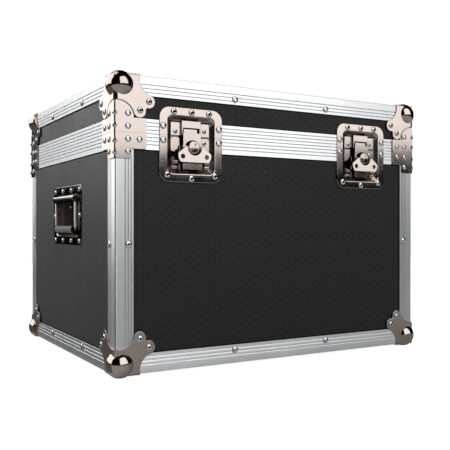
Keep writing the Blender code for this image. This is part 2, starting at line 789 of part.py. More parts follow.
def wing_outline(x):
    """The butterfly wing: two tips beside the boss, sloping shoulders and a straight foot."""
    inner = math.degrees(math.asin(WING_TIP_TOP / WING_CUT_RADIUS))
    half = [
        (WING_TIP, WING_TIP_TOP),
        (WING_SHOULDER, -WING_SHOULDER_DROP),
        (WING_SHOULDER, -WING_WAIST_DROP),
        (WING_FOOT, -WING_DROP),
    ]
    cut = arc((0, 0), WING_CUT_RADIUS, inner, -180 - inner, 12)
    points = cut + mirrored_outline(half)[::-1] + half[::-1]
    return [(x + u, BOSS_HEIGHT + v) for u, v in points]


def wing(x):
    hole_x, hole_z = WING_HOLE
    holes = []
    for side in (-1, 1):
        centre = (x + side * hole_x, BOSS_HEIGHT + hole_z)
        holes.append(circle(centre, WING_HOLE_RADIUS, 12))
    plate = prism(wing_outline(x), WING_FACE - WING, WING_FACE, on_front, holes)
    lugs = []
    for side in (-1, 1):
        near = side * (BOSS_RADIUS + 2 * RUNNING_GAP)
        far = near + side * WING_LUG
        low = (x + min(near, far), BOSS_HEIGHT - WING_LUG_DROP)
        high = (x + max(near, far), BOSS_HEIGHT + WING_TIP_TOP)
        back = WING_PIVOT_OUT - WING_TIP_TOP
        lugs.append(prism(rectangle(low, high), back, WING_FACE - WING / 2, on_front))
    out = FRONT - WING_PIVOT_OUT
    reach = WING_TIP + CUT_MARGIN
    bore_radius = WING_PIN_RADIUS + RUNNING_GAP
    bore = rod((x - reach, out, BOSS_HEIGHT), (x + reach, out, BOSS_HEIGHT), bore_radius, 10)
    return combined(plate, ("UNION", lugs[0]), ("UNION", lugs[1]), ("DIFFERENCE", bore))


def make_latches(base, lid, nickel):
    for name, x in LATCH_PLACES.items():
        piece(f"latch_dish_base_{name}", keep(latch_dish(x), JOINT - GAP / 2, False), nickel, base)
        piece(f"latch_dish_lid_{name}", keep(latch_dish(x), JOINT + GAP / 2, True), nickel, lid)
        piece(f"latch_strike_{name}", strike(x), nickel, lid)
        piece(f"latch_channel_{name}", channel(x), nickel, base)
        slide = empty(f"latch_hook_slide_{name}", (x, FRONT, BOSS_HEIGHT), base)
        piece(f"latch_hook_{name}", hook(x), nickel, slide)
        turn = empty(f"latch_turn_{name}", (x, FRONT - WING_PIVOT_OUT, BOSS_HEIGHT), base)
        piece(f"latch_boss_{name}", boss(x), nickel, turn)
        flip = empty(f"latch_wing_flip_{name}", (x, FRONT - WING_PIVOT_OUT, BOSS_HEIGHT), turn)
        piece(f"latch_wing_{name}", wing(x), nickel, flip)


# Handles
def handle_dish(place, axis_at):
    """A handle dish with the ears and the pin that the handle's barrel turns on."""
    low = (CENTRE_Y - HANDLE_WIDTH / 2, HANDLE_CENTRE - HANDLE_HEIGHT / 2)
    high = (CENTRE_Y + HANDLE_WIDTH / 2, HANDLE_CENTRE + HANDLE_HEIGHT / 2)
    side_rim = (HANDLE_WIDTH - HANDLE_OPENING_WIDTH) / 2
    end_rim = (HANDLE_HEIGHT - HANDLE_OPENING_HEIGHT) / 2
    rounds = (HANDLE_ROUND, HANDLE_OPENING_ROUND)
    levels = (HANDLE_FACE, HANDLE_FACE - HANDLE_DEPTH)
    cup = dish(place, low, high, (side_rim, end_rim), rounds, HANDLE_SLOPE, levels)
    floor = HANDLE_FACE - HANDLE_DEPTH - SHEET / 2
    start = BAIL_HALF_SPAN + BAIL_ROD_RADIUS + 2 * GAP
    ears = []
    for side in (-1, 1):
        near, far = sorted((side * start, side * (start + EAR)))
        outline = rectangle(
            (CENTRE_Y + near, PIVOT_HEIGHT - EAR_HALF_HEIGHT),
            (CENTRE_Y + far, PIVOT_HEIGHT + EAR_HALF_HEIGHT),
        )
        ears.append(prism(outline, floor, BAIL_OUT + PIVOT_RADIUS + MERGE, place))
    half = start + EAR / 2
    pin = rod(axis_at(-half), axis_at(half), PIVOT_RADIUS, 10)
    return union(cup, *ears, pin)


def bail(side, axis_at):
    """The handle's frame: a barrel round the pin, two arms and the core of the grip."""
    half = BAIL_HALF_SPAN + BAIL_ROD_RADIUS
    bore = PIVOT_RADIUS + GAP
    profile = [
        (-half, BARREL_RADIUS),
        (half, BARREL_RADIUS),
        (half, bore),
        (half - BARREL_CAP, bore),
        (half - BARREL_CAP, BARREL_BORE),
        (BARREL_CAP - half, BARREL_BORE),
        (BARREL_CAP - half, bore),
        (-half, bore),
    ]
    barrel = turned(profile, axis_at(0))
    x = side * (HALF_WIDTH + BAIL_OUT)
    arms = []
    for end in (-1, 1):
        y = CENTRE_Y + end * BAIL_HALF_SPAN
        top = PIVOT_HEIGHT - (BARREL_RADIUS + bore) / 2
        arms.append(rod((x, y, top), (x, y, GRIP_HEIGHT - GRIP_CORE_RADIUS), BAIL_ROD_RADIUS, 10))
    reach = BAIL_HALF_SPAN + MERGE
    core = rod((x, CENTRE_Y - reach, GRIP_HEIGHT), (x, CENTRE_Y + reach, GRIP_HEIGHT), GRIP_CORE_RADIUS, 10)
    return union(barrel, *arms, core)


def grip(side):
    """The rubber sleeve round the core of the handle."""
    half = BAIL_HALF_SPAN - BAIL_ROD_RADIUS - GAP
    bore = GRIP_CORE_RADIUS + GAP
    profile = [(-half, GRIP_RADIUS), (half, GRIP_RADIUS), (half, bore), (-half, bore)]
    return turned(profile, (side * (HALF_WIDTH + BAIL_OUT), CENTRE_Y, GRIP_HEIGHT), 20)


def spring(side):
    """The return spring, wound round the pin inside the barrel."""
    steps = 8
    count = SPRING_TURNS * steps
    middle = Vector((side * (HALF_WIDTH + BAIL_OUT), CENTRE_Y, PIVOT_HEIGHT))
    loops = []
    for i in range(count + 1):
        angle = 2 * math.pi * i / steps
        turn = Vector((math.cos(angle), 0, math.sin(angle)))
        along = Vector((0, SPRING_PITCH * (i / steps - SPRING_TURNS / 2), 0))
        ring = circle((0, 0), SPRING_WIRE_RADIUS, 4)
        centre = middle + along + turn * SPRING_RADIUS
        loops.append([centre + turn * a + Vector((0, b, 0)) for a, b in ring])
    return loft(loops)


def make_handles(base, nickel, rubber, spring_steel):
    for name, side in SIDES.items():
        place = on_left if side < 0 else on_right

        def axis_at(along, side=side):
            return (side * (HALF_WIDTH + BAIL_OUT), CENTRE_Y + along, PIVOT_HEIGHT)

        piece(f"handle_dish_{name}", handle_dish(place, axis_at), nickel, base)
        piece(f"handle_spring_{name}", spring(side), spring_steel, base, axis_at(0))
        swing = empty(f"handle_swing_{name}", axis_at(0), base)
        piece(f"handle_bail_{name}", bail(side, axis_at), nickel, swing)
        piece(f"handle_grip_{name}", grip(side), rubber, swing)


# Hinges
def hinge_leaf(x, upper):
    """One leaf of a hinge with its knuckles; the base leaf also holds the pin."""
    sign = 1 if upper else -1
    half = HINGE_WIDTH / 2
    near = JOINT + sign * (KNUCKLE_RADIUS + LEAF_CLEARANCE)
    far = near + sign * LEAF_HEIGHT
    low, high = sorted((near, far))
    leaf = prism(rectangle((x - half, low), (x + half, high)), GAP, GAP + HINGE_LEAF, on_back)
    y = BACK + KNUCKLE_OUT
    inner = KNUCKLE_WIDTH / 2
    spans = [(x - inner, x + inner)]
    if not upper:
        play = RUNNING_GAP
        spans = [(x - half, x - inner - play), (x + inner + play, x + half)]
    parts = []
    for start, end in spans:
        neck_low, neck_high = sorted((JOINT, near + sign * MERGE))
        neck = rectangle((start, neck_low), (end, neck_high))
        parts.append(prism(neck, GAP, GAP + HINGE_LEAF, on_back))
        parts.append(rod((start, y, JOINT), (end, y, JOINT), KNUCKLE_RADIUS, 16))
    if upper:
        bore = HINGE_PIN_RADIUS + RUNNING_GAP
        hole = rod((x - half, y, JOINT), (x + half, y, JOINT), bore, 12)
        return combined(leaf, *(("UNION", part) for part in parts), ("DIFFERENCE", hole))
    reach = half - MERGE
    pin = rod((x - reach, y, JOINT), (x + reach, y, JOINT), HINGE_PIN_RADIUS, 12)
    return union(leaf, *parts, pin)


def make_hinges(base, lid, nickel):
    for name, x in HINGE_PLACES.items():
        piece(f"hinge_leaf_base_{name}", hinge_leaf(x, False), nickel, base)
        piece(f"hinge_leaf_lid_{name}", hinge_leaf(x, True), nickel, lid)


def main():
    for obj in list(bpy.data.objects):
        bpy.data.objects.remove(obj)
    laminate = material("black_laminate", (0.03, 0.03, 0.031), 0.55, 0)
    aluminium = material("satin_aluminium", (0.78, 0.79, 0.8), 0.35, 1)
    nickel = material("polished_nickel", (0.76, 0.71, 0.67), 0.12, 1)
    rubber = material("grey_rubber", (0.07, 0.072, 0.072), 0.7, 0)
    spring_steel = material("spring_steel", (0.4, 0.4, 0.41), 0.4, 1)
    base = empty("base", (0, 0, 0))
    lid = empty("lid", (0, BACK + KNUCKLE_OUT, JOINT), base)
    make_panels(base, lid, laminate)
    make_edging(base, lid, aluminium)
    make_corners(base, lid, nickel)
    make_latches(base, lid, nickel)
    make_handles(base, nickel, rubber, spring_steel)
    make_hinges(base, lid, nickel)


main()
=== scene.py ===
"""The looks of a transport trunk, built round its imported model.

The front faces -Y, the lid hinges at the back, and every size is in metres.
"""

import math

import bmesh
import bpy
import numpy as np
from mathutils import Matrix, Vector
from mathutils.geometry import tessellate_polygon


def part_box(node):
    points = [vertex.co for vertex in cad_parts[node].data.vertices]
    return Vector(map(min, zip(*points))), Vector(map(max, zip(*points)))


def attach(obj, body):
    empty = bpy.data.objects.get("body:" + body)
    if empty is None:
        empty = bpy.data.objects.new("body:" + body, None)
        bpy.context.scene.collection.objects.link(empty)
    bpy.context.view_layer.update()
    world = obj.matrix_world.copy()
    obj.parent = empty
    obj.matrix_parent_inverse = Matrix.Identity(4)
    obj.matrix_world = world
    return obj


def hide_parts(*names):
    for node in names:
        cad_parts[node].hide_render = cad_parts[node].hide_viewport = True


bl_info = {
    "name": "Transport trunk",
    "version": (1, 0, 0),
    "blender": (4, 5, 0),
    "location": "3D View > Sidebar > Trunk",
    "description": "Builds the edging, hardware and finishes of a transport trunk",
    "category": "Object",
}

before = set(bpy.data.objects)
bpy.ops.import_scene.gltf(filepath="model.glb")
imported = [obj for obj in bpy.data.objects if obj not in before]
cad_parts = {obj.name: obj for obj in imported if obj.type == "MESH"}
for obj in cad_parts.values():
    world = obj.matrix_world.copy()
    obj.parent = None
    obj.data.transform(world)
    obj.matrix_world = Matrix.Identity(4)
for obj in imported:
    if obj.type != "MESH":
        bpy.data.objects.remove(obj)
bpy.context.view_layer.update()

MM = 0.001
SHARP_ANGLE = 35

# Places taken from the model
EDGE_LOW, EDGE_HIGH = (np.array(corner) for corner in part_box("edge_top"))
HALF_WIDTH = float(EDGE_HIGH[0])
CENTRE_Y = float(EDGE_LOW[1] + EDGE_HIGH[1]) / 2
HALF_DEPTH = float(EDGE_HIGH[1]) - CENTRE_Y
TOP = float(EDGE_HIGH[2])
UNDERSIDE = float(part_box("edge_bottom")[0][2])
FRONT = CENTRE_Y - HALF_DEPTH
BACK = CENTRE_Y + HALF_DEPTH
SIDES = {"left": -1, "right": 1}
ENDS = {"front": -1, "back": 1}
CORNERS = [(f"{end}_{side}", SIDES[side], ENDS[end]) for side in SIDES for end in ENDS]

# Sizes that the model was built with
EDGING = 30 * MM
PLATE = 1.5 * MM
PROUD = 0.3 * MM
PLATE_FACE = PROUD + PLATE
LID_HEIGHT = 87 * MM
LATCH_INSET = 126.8 * MM
BOSS_BELOW_JOINT = 18.4 * MM
HINGE_INSET = 130 * MM
HINGE_OUT = 5.3 * MM
HANDLE_BELOW_JOINT = 122 * MM
PIVOT_ABOVE_MIDDLE = 29 * MM
PIVOT_OUT = 1.5 * MM
BAIL_LENGTH = 53 * MM

# Places that follow from them
JOINT = TOP - LID_HEIGHT
RIM_FLOOR = JOINT - 24.5 * MM
RIM_TOP = JOINT + 22 * MM
LATCH_X = HALF_WIDTH - LATCH_INSET
BOSS_HEIGHT = JOINT - BOSS_BELOW_JOINT
HINGE_X = HALF_WIDTH - HINGE_INSET
HANDLE_HEIGHT = JOINT - HANDLE_BELOW_JOINT
PIVOT_HEIGHT = HANDLE_HEIGHT + PIVOT_ABOVE_MIDDLE


# Surfaces: each one is a list of patches, and a patch is (points, faces, smooth, slot)
def patch(points, faces, smooth=True, slot=0):
    points = np.asarray(points, float).reshape(-1, 3)
    return (points, np.asarray(faces, int), smooth, slot)


def grid_faces(rows, columns, close_rows=False, close_columns=False):
    """Quads of a grid: each joins (i, j) to (i, j+1), (i+1, j+1) and (i+1, j), counted round where it closes."""
    i = np.arange(rows if close_rows else rows - 1)
    j = np.arange(columns if close_columns else columns - 1)
    i, j = np.meshgrid(i, j, indexing="ij")
    following_i = (i + 1) % rows
    following_j = (j + 1) % columns
    corners = (
        i * columns + j,
        i * columns + following_j,
        following_i * columns + following_j,
        following_i * columns + j,
    )
    return np.stack([corner.ravel() for corner in corners], axis=1)


def skin(loops, cap_start=True, cap_end=True, smooth=True, slot=0, closed=False):
    """Patches through closed loops of equal length: row i is loop i, and flat caps close the two ends."""
    loops = np.asarray(loops, float)
    rows, columns = loops.shape[:2]
    made = [patch(loops, grid_faces(rows, columns, closed, True), smooth, slot)]
    if closed:
        return made
    ring = np.arange(columns)[None]
    if cap_start:
        made.append(patch(loops[0], ring[:, ::-1], False, slot))
    if cap_end:
        made.append(patch(loops[-1], ring, False, slot))
    return made


def make_mesh(name, patches, materials):
    """One mesh of all patches, merged at their shared borders, with its faces turned outwards."""
    counts = np.cumsum([0] + [len(points) for points, _, _, _ in patches])
    faces = [face for (_, faces, _, _), start in zip(patches, counts) for face in (faces + start).tolist()]
    mesh = bpy.data.meshes.new(name)
    mesh.from_pydata(np.concatenate([points for points, _, _, _ in patches]), [], faces)
    for label, column, kind in (("use_smooth", 2, bool), ("material_index", 3, np.int32)):
        values = np.concatenate([np.full(len(made[1]), made[column]) for made in patches])
        mesh.polygons.foreach_set(label, values.astype(kind))
    mesh.validate()
    for material in materials:
        mesh.materials.append(material)
    merge_and_turn(mesh)
    mark_sharp(mesh)
    return linked(name, mesh)


def linked(name, data):
    made = bpy.data.objects.new(name, data)
    bpy.context.collection.objects.link(made)
    return made


def mark_sharp(mesh):
    """Edges past the sharp angle are sharp, and flat faces stay flat."""
    smooth = np.empty(len(mesh.polygons), bool)
    mesh.polygons.foreach_get("use_smooth", smooth)
    mesh.set_sharp_from_angle(angle=math.radians(SHARP_ANGLE))
    mesh.polygons.foreach_set("use_smooth", smooth)


def merge_and_turn(mesh):
    """Points within a hundredth of a millimetre become one, and then every closed shell faces outwards."""
    bm = bmesh.new()
    bm.from_mesh(mesh)
    bmesh.ops.remove_doubles(bm, verts=bm.verts, dist=0.01 * MM)
    bmesh.ops.recalc_face_normals(bm, faces=bm.faces)
    bm.to_mesh(mesh)
    bm.free()


# Outlines: anticlockwise arrays of (u, v)
def in_mm(values):
    return np.array(values, float) * MM


def arc(centre, radius, start, end, steps):
    """Points at a radius from the centre, with the angle going evenly from start to end in degrees."""
    angle = np.radians(np.linspace(start, end, steps + 1))
    return np.stack([centre[0] + radius * np.cos(angle), centre[1] + radius * np.sin(angle)], axis=1)


def circle(centre, radius, steps):
    return arc(centre, radius, 0, 360, steps)[:-1]


def rounded_rectangle(low, high, radius, steps=8):
    """A quarter circle about each corner's centre, joined by straight sides."""
    left, bottom, right, top = low[0] + radius, low[1] + radius, high[0] - radius, high[1] - radius
    corners = ((right, bottom, -90), (right, top, 0), (left, top, 90), (left, bottom, 180))
    return np.concatenate([arc((x, y), radius, a, a + 90, steps) for x, y, a in corners])


def rounded_box(middle, low, high, radius, steps=8):
    """A rounded rectangle given in millimetres from a point."""
    return rounded_rectangle(*(in_mm([low, high]) + middle), radius * MM, steps)


def rectangle(low, high):
    return np.array([(low[0], low[1]), (high[0], low[1]), (high[0], high[1]), (low[0], high[1])])


def inset(outline, distance):
    """Each corner moved inwards along the bisector of its sides, so that every side moves in by the distance."""
    before = outline - np.roll(outline, 1, axis=0)
    after = np.roll(outline, -1, axis=0) - outline
    before /= np.linalg.norm(before, axis=1, keepdims=True)
    after /= np.linalg.norm(after, axis=1, keepdims=True)
    normal = np.stack([-before[:, 1] - after[:, 1], before[:, 0] + after[:, 0]], axis=1)
    length = np.linalg.norm(normal, axis=1, keepdims=True)
    normal = normal / np.maximum(length, 1e-9)
    across = np.stack([-after[:, 1], after[:, 0]], axis=1)
    spread = np.maximum((normal * across).sum(axis=1, keepdims=True), 0.4)
    return outline + normal * distance / spread


def cap_faces(outlines):
    """Triangles that fill the first outline and leave the others open."""
    loops = [[Vector((u, v, 0)) for u, v in outline] for outline in outlines]
    return np.array(tessellate_polygon(loops), int)


def mirrored(half):
    """A half outline of (u, v) and its mirror image, which comes first and in reverse."""
    return [(-u, v) for u, v in reversed(half)] + list(half)


def softened(outline, radius, steps=3):
    """Corners made curves: point = (1-t)^2*A + 2t(1-t)*P + t^2*B, with A and B up to a radius from corner P."""
    outline = np.asarray(outline, float)
    before = np.roll(outline, 1, axis=0) - outline
    after = np.roll(outline, -1, axis=0) - outline
    sizes = [np.linalg.norm(side, axis=1, keepdims=True) for side in (before, after)]
    start = outline + before * np.minimum(radius / sizes[0], 0.45)
    end = outline + after * np.minimum(radius / sizes[1], 0.45)
    t = np.linspace(0, 1, steps + 1)[None, :, None]
    curves = (1 - t) ** 2 * start[:, None] + 2 * t * (1 - t) * outline[:, None] + t**2 * end[:, None]
    return curves.reshape(-1, 2)


# Placings: (u, v, w) with w outwards from a face of the trunk
def on_front(u, v, w):
    return np.stack([u, FRONT - w, v], axis=-1)


def on_back(u, v, w):
    return np.stack([-u, BACK + w, v], axis=-1)


def on_left(u, v, w):
    return np.stack([-HALF_WIDTH - w, CENTRE_Y - u, v], axis=-1)


def on_right(u, v, w):
    return np.stack([HALF_WIDTH + w, CENTRE_Y + u, v], axis=-1)


def trunk_corner(side, end, u, v, height):
    """Points at distances inwards from the two faces that meet at a corner, and at a height."""
    return np.stack([side * (HALF_WIDTH - u), CENTRE_Y + end * (HALF_DEPTH - v), height], axis=-1)


# Each upright face: its placing, half its width, and how far the edging's rivets are from its middle
FACES = (
    (on_front, HALF_WIDTH, 93 * MM),
    (on_back, HALF_WIDTH, 93 * MM),
    (on_left, HALF_DEPTH, 86 * MM),
    (on_right, HALF_DEPTH, 86 * MM),
)


def placed(outline, level, place):
    outline = np.asarray(outline, float)
    return place(outline[:, 0], outline[:, 1], np.full(len(outline), float(level)))


def plate(outline, low, high, place, edge=0.35 * MM, holes=(), slot=0, back_edge=False):
    """A flat plate: straight sides, a quarter-round edge inset + w = edge*(1-cos a, sin a), and a flat face."""
    rows = [(edge * (1 - math.cos(a)), high - edge * (1 - math.sin(a))) for a in np.radians([0, 30, 60, 90])]
    rows = ([(d, low + high - level) for d, level in rows[::-1]] if back_edge else [(0, low)]) + rows
    patches, shapes = [], []
    for shape, sign in [(outline, 1), *[(hole, -1) for hole in holes]]:
        loops = [inset(shape, sign * distance) for distance, _ in rows]
        sides = [placed(loop, level, place) for loop, (_, level) in zip(loops, rows)]
        patches += skin(sides, False, False, True, slot)
        shapes.append((loops[0], loops[-1]))
    for flat, level in zip(zip(*shapes), (rows[0][1], rows[-1][1])):
        points = np.concatenate([placed(shape, level, place) for shape in flat])
        patches.append(patch(points, cap_faces(flat), False, slot))
    return patches


def turned(profile, centre, axis, steps=24, slot=0, closed=False):
    """A profile of (along, radius) in millimetres turned round an axis.

    Each point is centre + axis*along + radius*(cos a, sin a) in the plane across the axis.
    """
    axis = Vector(axis).normalized()
    across = axis.orthogonal().normalized()
    other = axis.cross(across)
    along, radius = in_mm(profile).T
    angle = np.linspace(0, 2 * math.pi, steps, endpoint=False)
    ring = np.cos(angle)[:, None] * np.array(across) + np.sin(angle)[:, None] * np.array(other)
    points = np.array(centre) + along[:, None, None] * np.array(axis) + radius[:, None, None] * ring
    return skin(points, True, True, True, slot, closed)


def pin(centre, axis, length, radius, tip, steps):
    """A round bar from half its length, its radius and the rounding of its ends, all in millimetres."""
    angle = np.linspace(0, math.pi / 2, 5)
    along, across = length - tip * (1 - np.cos(angle)), radius - tip * (1 - np.sin(angle))
    half = [*zip(along[::-1], across[::-1]), (length, 0.02 * radius)]
    return turned(mirrored(half), centre, axis, steps)


def tube(path, radius, guide, steps=12, slot=0):
    """A round bar along a path: circles of a radius across it. The guide never runs along the path."""
    along = np.gradient(path, axis=0)
    along /= np.linalg.norm(along, axis=1, keepdims=True)
    across = np.cross(along, guide)
    across /= np.linalg.norm(across, axis=1, keepdims=True)
    other = np.cross(along, across)
    angle = np.linspace(0, 2 * math.pi, steps, endpoint=False)
    ring = np.cos(angle)[None, :, None] * across[:, None] + np.sin(angle)[None, :, None] * other[:, None]
    return skin(path[:, None] + radius * ring, True, True, True, slot)


def show(made, body, slot, *nodes):
    """Makes a piece ride on its body and stand for the model's nodes. The slot is not used.

    Its normals lean to its larger faces, so that rounded edges leave the flat faces beside them flat.
    """
    step = made.modifiers.new("Flat faces", "WEIGHTED_NORMAL")
    step.keep_sharp = True
    step.weight = 100
    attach(made, body)
    if nodes:
        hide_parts(*nodes)


def piece(name, patches, materials, body, slot, *nodes):
    show(make_mesh(name, patches, materials), body, slot, *nodes)


# Finishes
CELL_PITCH = 12 * MM


def connect(tree, node, inputs):
    """Gives a node its inputs, as values or as sockets to link from."""
    for key, value in inputs.items():
        if isinstance(value, bpy.types.NodeSocket):
            tree.links.new(value, node.inputs[key])
        else:
            node.inputs[key].default_value = value


def add_node(tree, kind, inputs, **settings):
    """A node with its settings and its inputs."""
    made = tree.nodes.new(kind)
    for name, value in settings.items():
        setattr(made, name, value)
    connect(tree, made, inputs)
    return made


def calculate(tree, operation, first, second=0.0, third=0.0):
    made = add_node(tree, "ShaderNodeMath", {0: first, 1: second, 2: third}, operation=operation)
    return made.outputs[0]


def blend_values(tree, share, low, high):
    settings = {"data_type": "FLOAT", "clamp_factor": True}
    made = add_node(tree, "ShaderNodeMix", {0: share, 2: low, 3: high}, **settings)
    return made.outputs[0]


def blend_colours(tree, share, low, high):
    made = add_node(tree, "ShaderNodeMix", {0: share, 6: low, 7: high}, data_type="RGBA")
    return made.outputs[2]


def smooth_step(tree, value, low, high):
    """Zero below the low value, one above the high one, and a smooth rise between them."""
    steps = {"Value": value, "From Min": low, "From Max": high}
    return add_node(tree, "ShaderNodeMapRange", steps, interpolation_type="SMOOTHSTEP").outputs[0]


def new_group(name, inputs, outputs):
    """An empty shader group with its inputs, each with a value, its outputs, and its two end nodes."""
    tree = bpy.data.node_groups.new(name, "ShaderNodeTree")
    for label, value in inputs.items():
        kind = "NodeSocketVector" if isinstance(value, tuple) else "NodeSocketFloat"
        tree.interface.new_socket(label, in_out="INPUT", socket_type=kind).default_value = value
    for label in outputs:
        tree.interface.new_socket(label, in_out="OUTPUT", socket_type="NodeSocketFloat")
    return tree, tree.nodes.new("NodeGroupInput").outputs, tree.nodes.new("NodeGroupOutput")


def haze_group():
    """Haze: soft blotches and finer speckle, mixed and stretched between a low and a high value."""
    inputs = {"Vector": (0.0, 0.0, 0.0), "Scale": 12.0, "Low": 0.1, "High": 0.2}
    tree, given, end = new_group("surface_haze", inputs, ("Value", "Mask"))
    where, scale = given["Vector"], given["Scale"]
    blotches = add_node(tree, "ShaderNodeTexNoise", {"Vector": where, "Scale": scale, "Detail": 3.0})
    fine = calculate(tree, "MULTIPLY", scale, 14.0)
    speckle = add_node(tree, "ShaderNodeTexNoise", {"Vector": where, "Scale": fine, "Detail": 2.0})
    mixed = blend_values(tree, 0.35, blotches.outputs["Fac"], speckle.outputs["Fac"])
    mask = smooth_step(tree, mixed, 0.3, 0.7)
    connect(tree, end, {"Value": blend_values(tree, mask, given["Low"], given["High"]), "Mask": mask})


def drawn_lines_group():
    """Drawn lines: noise stretched along one axis, as dies and rollers leave on metal."""
    inputs = {"Vector": (0.0, 0.0, 0.0), "Stretch": (1.0, 1.0, 1.0)}
    tree, given, end = new_group("drawn_lines", inputs, ("Height",))
    steps = {"Vector": given["Vector"], "Scale": given["Stretch"]}
    stretched = add_node(tree, "ShaderNodeMapping", steps).outputs[0]
    noise = add_node(tree, "ShaderNodeTexNoise", {"Vector": stretched, "Scale": 1.0, "Detail": 3.0})
    connect(tree, end, {"Height": noise.outputs["Fac"]})


def honeycomb_group():
    """Honeycomb: the distance from the nearest centre of two interleaved lattices, to a hexagon's sides."""
    inputs = {"Along": 0.0, "Across": 0.0, "Pitch": CELL_PITCH}
    tree, given, end = new_group("honeycomb", inputs, ("Cell", "Line", "Joint"))
    ratio = math.sqrt(3)
    along = calculate(tree, "DIVIDE", given["Along"], given["Pitch"])
    across = calculate(tree, "DIVIDE", given["Across"], given["Pitch"])
    found = []
    for shift in (0.0, 0.5):
        a = calculate(tree, "SUBTRACT", along, shift)
        b = calculate(tree, "SUBTRACT", across, shift * ratio)
        a = calculate(tree, "ABSOLUTE", calculate(tree, "WRAP", a, 0.5, -0.5))
        b = calculate(tree, "ABSOLUTE", calculate(tree, "WRAP", b, ratio / 2, -ratio / 2))
        slanted = calculate(tree, "MULTIPLY_ADD", b, ratio / 2, calculate(tree, "MULTIPLY", a, 0.5))
        side = calculate(tree, "MAXIMUM", a, slanted)
        squares = calculate(tree, "MULTIPLY_ADD", a, a, calculate(tree, "MULTIPLY", b, b))
        found.append((side, calculate(tree, "SQRT", squares)))
    side, radius = (calculate(tree, "MINIMUM", first, second) for first, second in zip(*found))
    cell, line = smooth_step(tree, radius, 0.12, 0.42), smooth_step(tree, side, 0.38, 0.48)
    connect(tree, end, {"Cell": cell, "Line": line, "Joint": smooth_step(tree, radius, 0.48, 0.56)})


def new_material(name):
    """A new material, its tree and its Principled shader."""
    made = bpy.data.materials.new(name)
    made.use_nodes = True
    return made, made.node_tree, made.node_tree.nodes["Principled BSDF"]


def start_material(name):
    """The tree and the Principled shader of a new material, and the object's own coordinates."""
    _, tree, shader = new_material(name)
    return tree, shader, tree.nodes.new("ShaderNodeTexCoord").outputs["Object"]


def place_group(tree, name, inputs):
    return add_node(tree, "ShaderNodeGroup", inputs, node_tree=bpy.data.node_groups[name]).outputs


def haze(tree, where, scale, low, high):
    return place_group(tree, "surface_haze", {"Vector": where, "Scale": scale, "Low": low, "High": high})


def drawn_lines(tree, where, stretch):
    return place_group(tree, "drawn_lines", {"Vector": where, "Stretch": stretch})["Height"]


def add_bump(tree, shader, height, distance, strength=1.0):
    steps = {"Height": height, "Distance": distance, "Strength": strength}
    connect(tree, shader, {"Normal": add_node(tree, "ShaderNodeBump", steps).outputs[0]})


def add_leaning_bump(tree, shader, where, height, depth, lean):
    """A bump of the given depth that also leans upright faces up: height = depth*h - lean*z."""
    upwards = add_node(tree, "ShaderNodeSeparateXYZ", {0: where}).outputs[2]
    ramp = calculate(tree, "MULTIPLY", upwards, -lean)
    add_bump(tree, shader, calculate(tree, "MULTIPLY_ADD", height, depth, ramp), 1.0)


def shade(colour, factor=1.0):
    """A colour made darker or lighter, with its alpha."""
    return (*(c * factor for c in colour[:3]), 1)


def laminate(name, along, across, colour, gloss):
    """Black laminate: honeycomb cells, along and across by axis, under a hard, slightly pebbled skin."""
    tree, shader, where = start_material(name)
    parts = add_node(tree, "ShaderNodeSeparateXYZ", {0: where}).outputs
    cells = {"Along": parts[along], "Across": parts[across], "Pitch": CELL_PITCH}
    comb = place_group(tree, "honeycomb", cells)
    mask = haze(tree, where, 9.0, 0.0, 1.0)["Mask"]
    grain = add_node(tree, "ShaderNodeTexNoise", {"Vector": where, "Scale": 1400.0, "Detail": 2.0})
    dark = shade(colour, 0.7)
    tone = blend_colours(tree, comb["Cell"], shade(colour), shade(colour, 1.6))
    tone = blend_colours(tree, comb["Line"], tone, dark)
    tone = blend_colours(tree, calculate(tree, "MULTIPLY", mask, 0.15), tone, dark)
    sheen = blend_values(tree, comb["Line"], gloss, gloss * 0.75)
    sheen = blend_values(tree, comb["Joint"], sheen, gloss * 0.5)
    rough = blend_values(tree, mask, 0.44, 0.56)
    connect(tree, shader, {"Base Color": tone, "Specular IOR Level": sheen, "Roughness": rough})
    lowered = calculate(tree, "MULTIPLY", comb["Line"], -0.6)
    height = calculate(tree, "ADD", calculate(tree, "MULTIPLY", grain.outputs["Fac"], 0.5), lowered)
    add_bump(tree, shader, height, 0.06 * MM, 0.6)


def aluminium(name, run, colour, lean):
    """Satin aluminium: fine lines drawn along an axis, handling marks, and a grain that leans faces up."""
    tree, shader, where = start_material(name)
    lines = drawn_lines(tree, where, tuple(6.0 if axis == run else 1500.0 for axis in "XYZ"))
    rough = haze(tree, where, 7.0, 0.3, 0.37)["Value"]
    tone = blend_colours(tree, lines, shade(colour, 0.92), shade(colour))
    connect(tree, shader, {"Base Color": tone, "Roughness": rough, "Metallic": 0.94})
    add_leaning_bump(tree, shader, where, lines, 0.0025 * MM, lean)


def nickel(name, colour, low, high, lean=0.0):
    """Polished plated steel: soft smears and hairline scratches that only show in the reflections."""
    tree, shader, where = start_material(name)
    smears = haze(tree, where, 30.0, low, high)
    scratches = drawn_lines(tree, where, (260.0, 40.0, 900.0))
    wave = add_node(tree, "ShaderNodeTexNoise", {"Vector": where, "Scale": 16.0, "Detail": 0.0})
    tone = blend_colours(tree, smears["Mask"], shade(colour, 0.93), shade(colour))
    connect(tree, shader, {"Base Color": tone, "Roughness": smears["Value"], "Metallic": 1.0})
    height = calculate(tree, "ADD", wave.outputs["Fac"], calculate(tree, "MULTIPLY", scratches, 0.02))
    add_leaning_bump(tree, shader, where, height, 0.0144 * MM, lean)


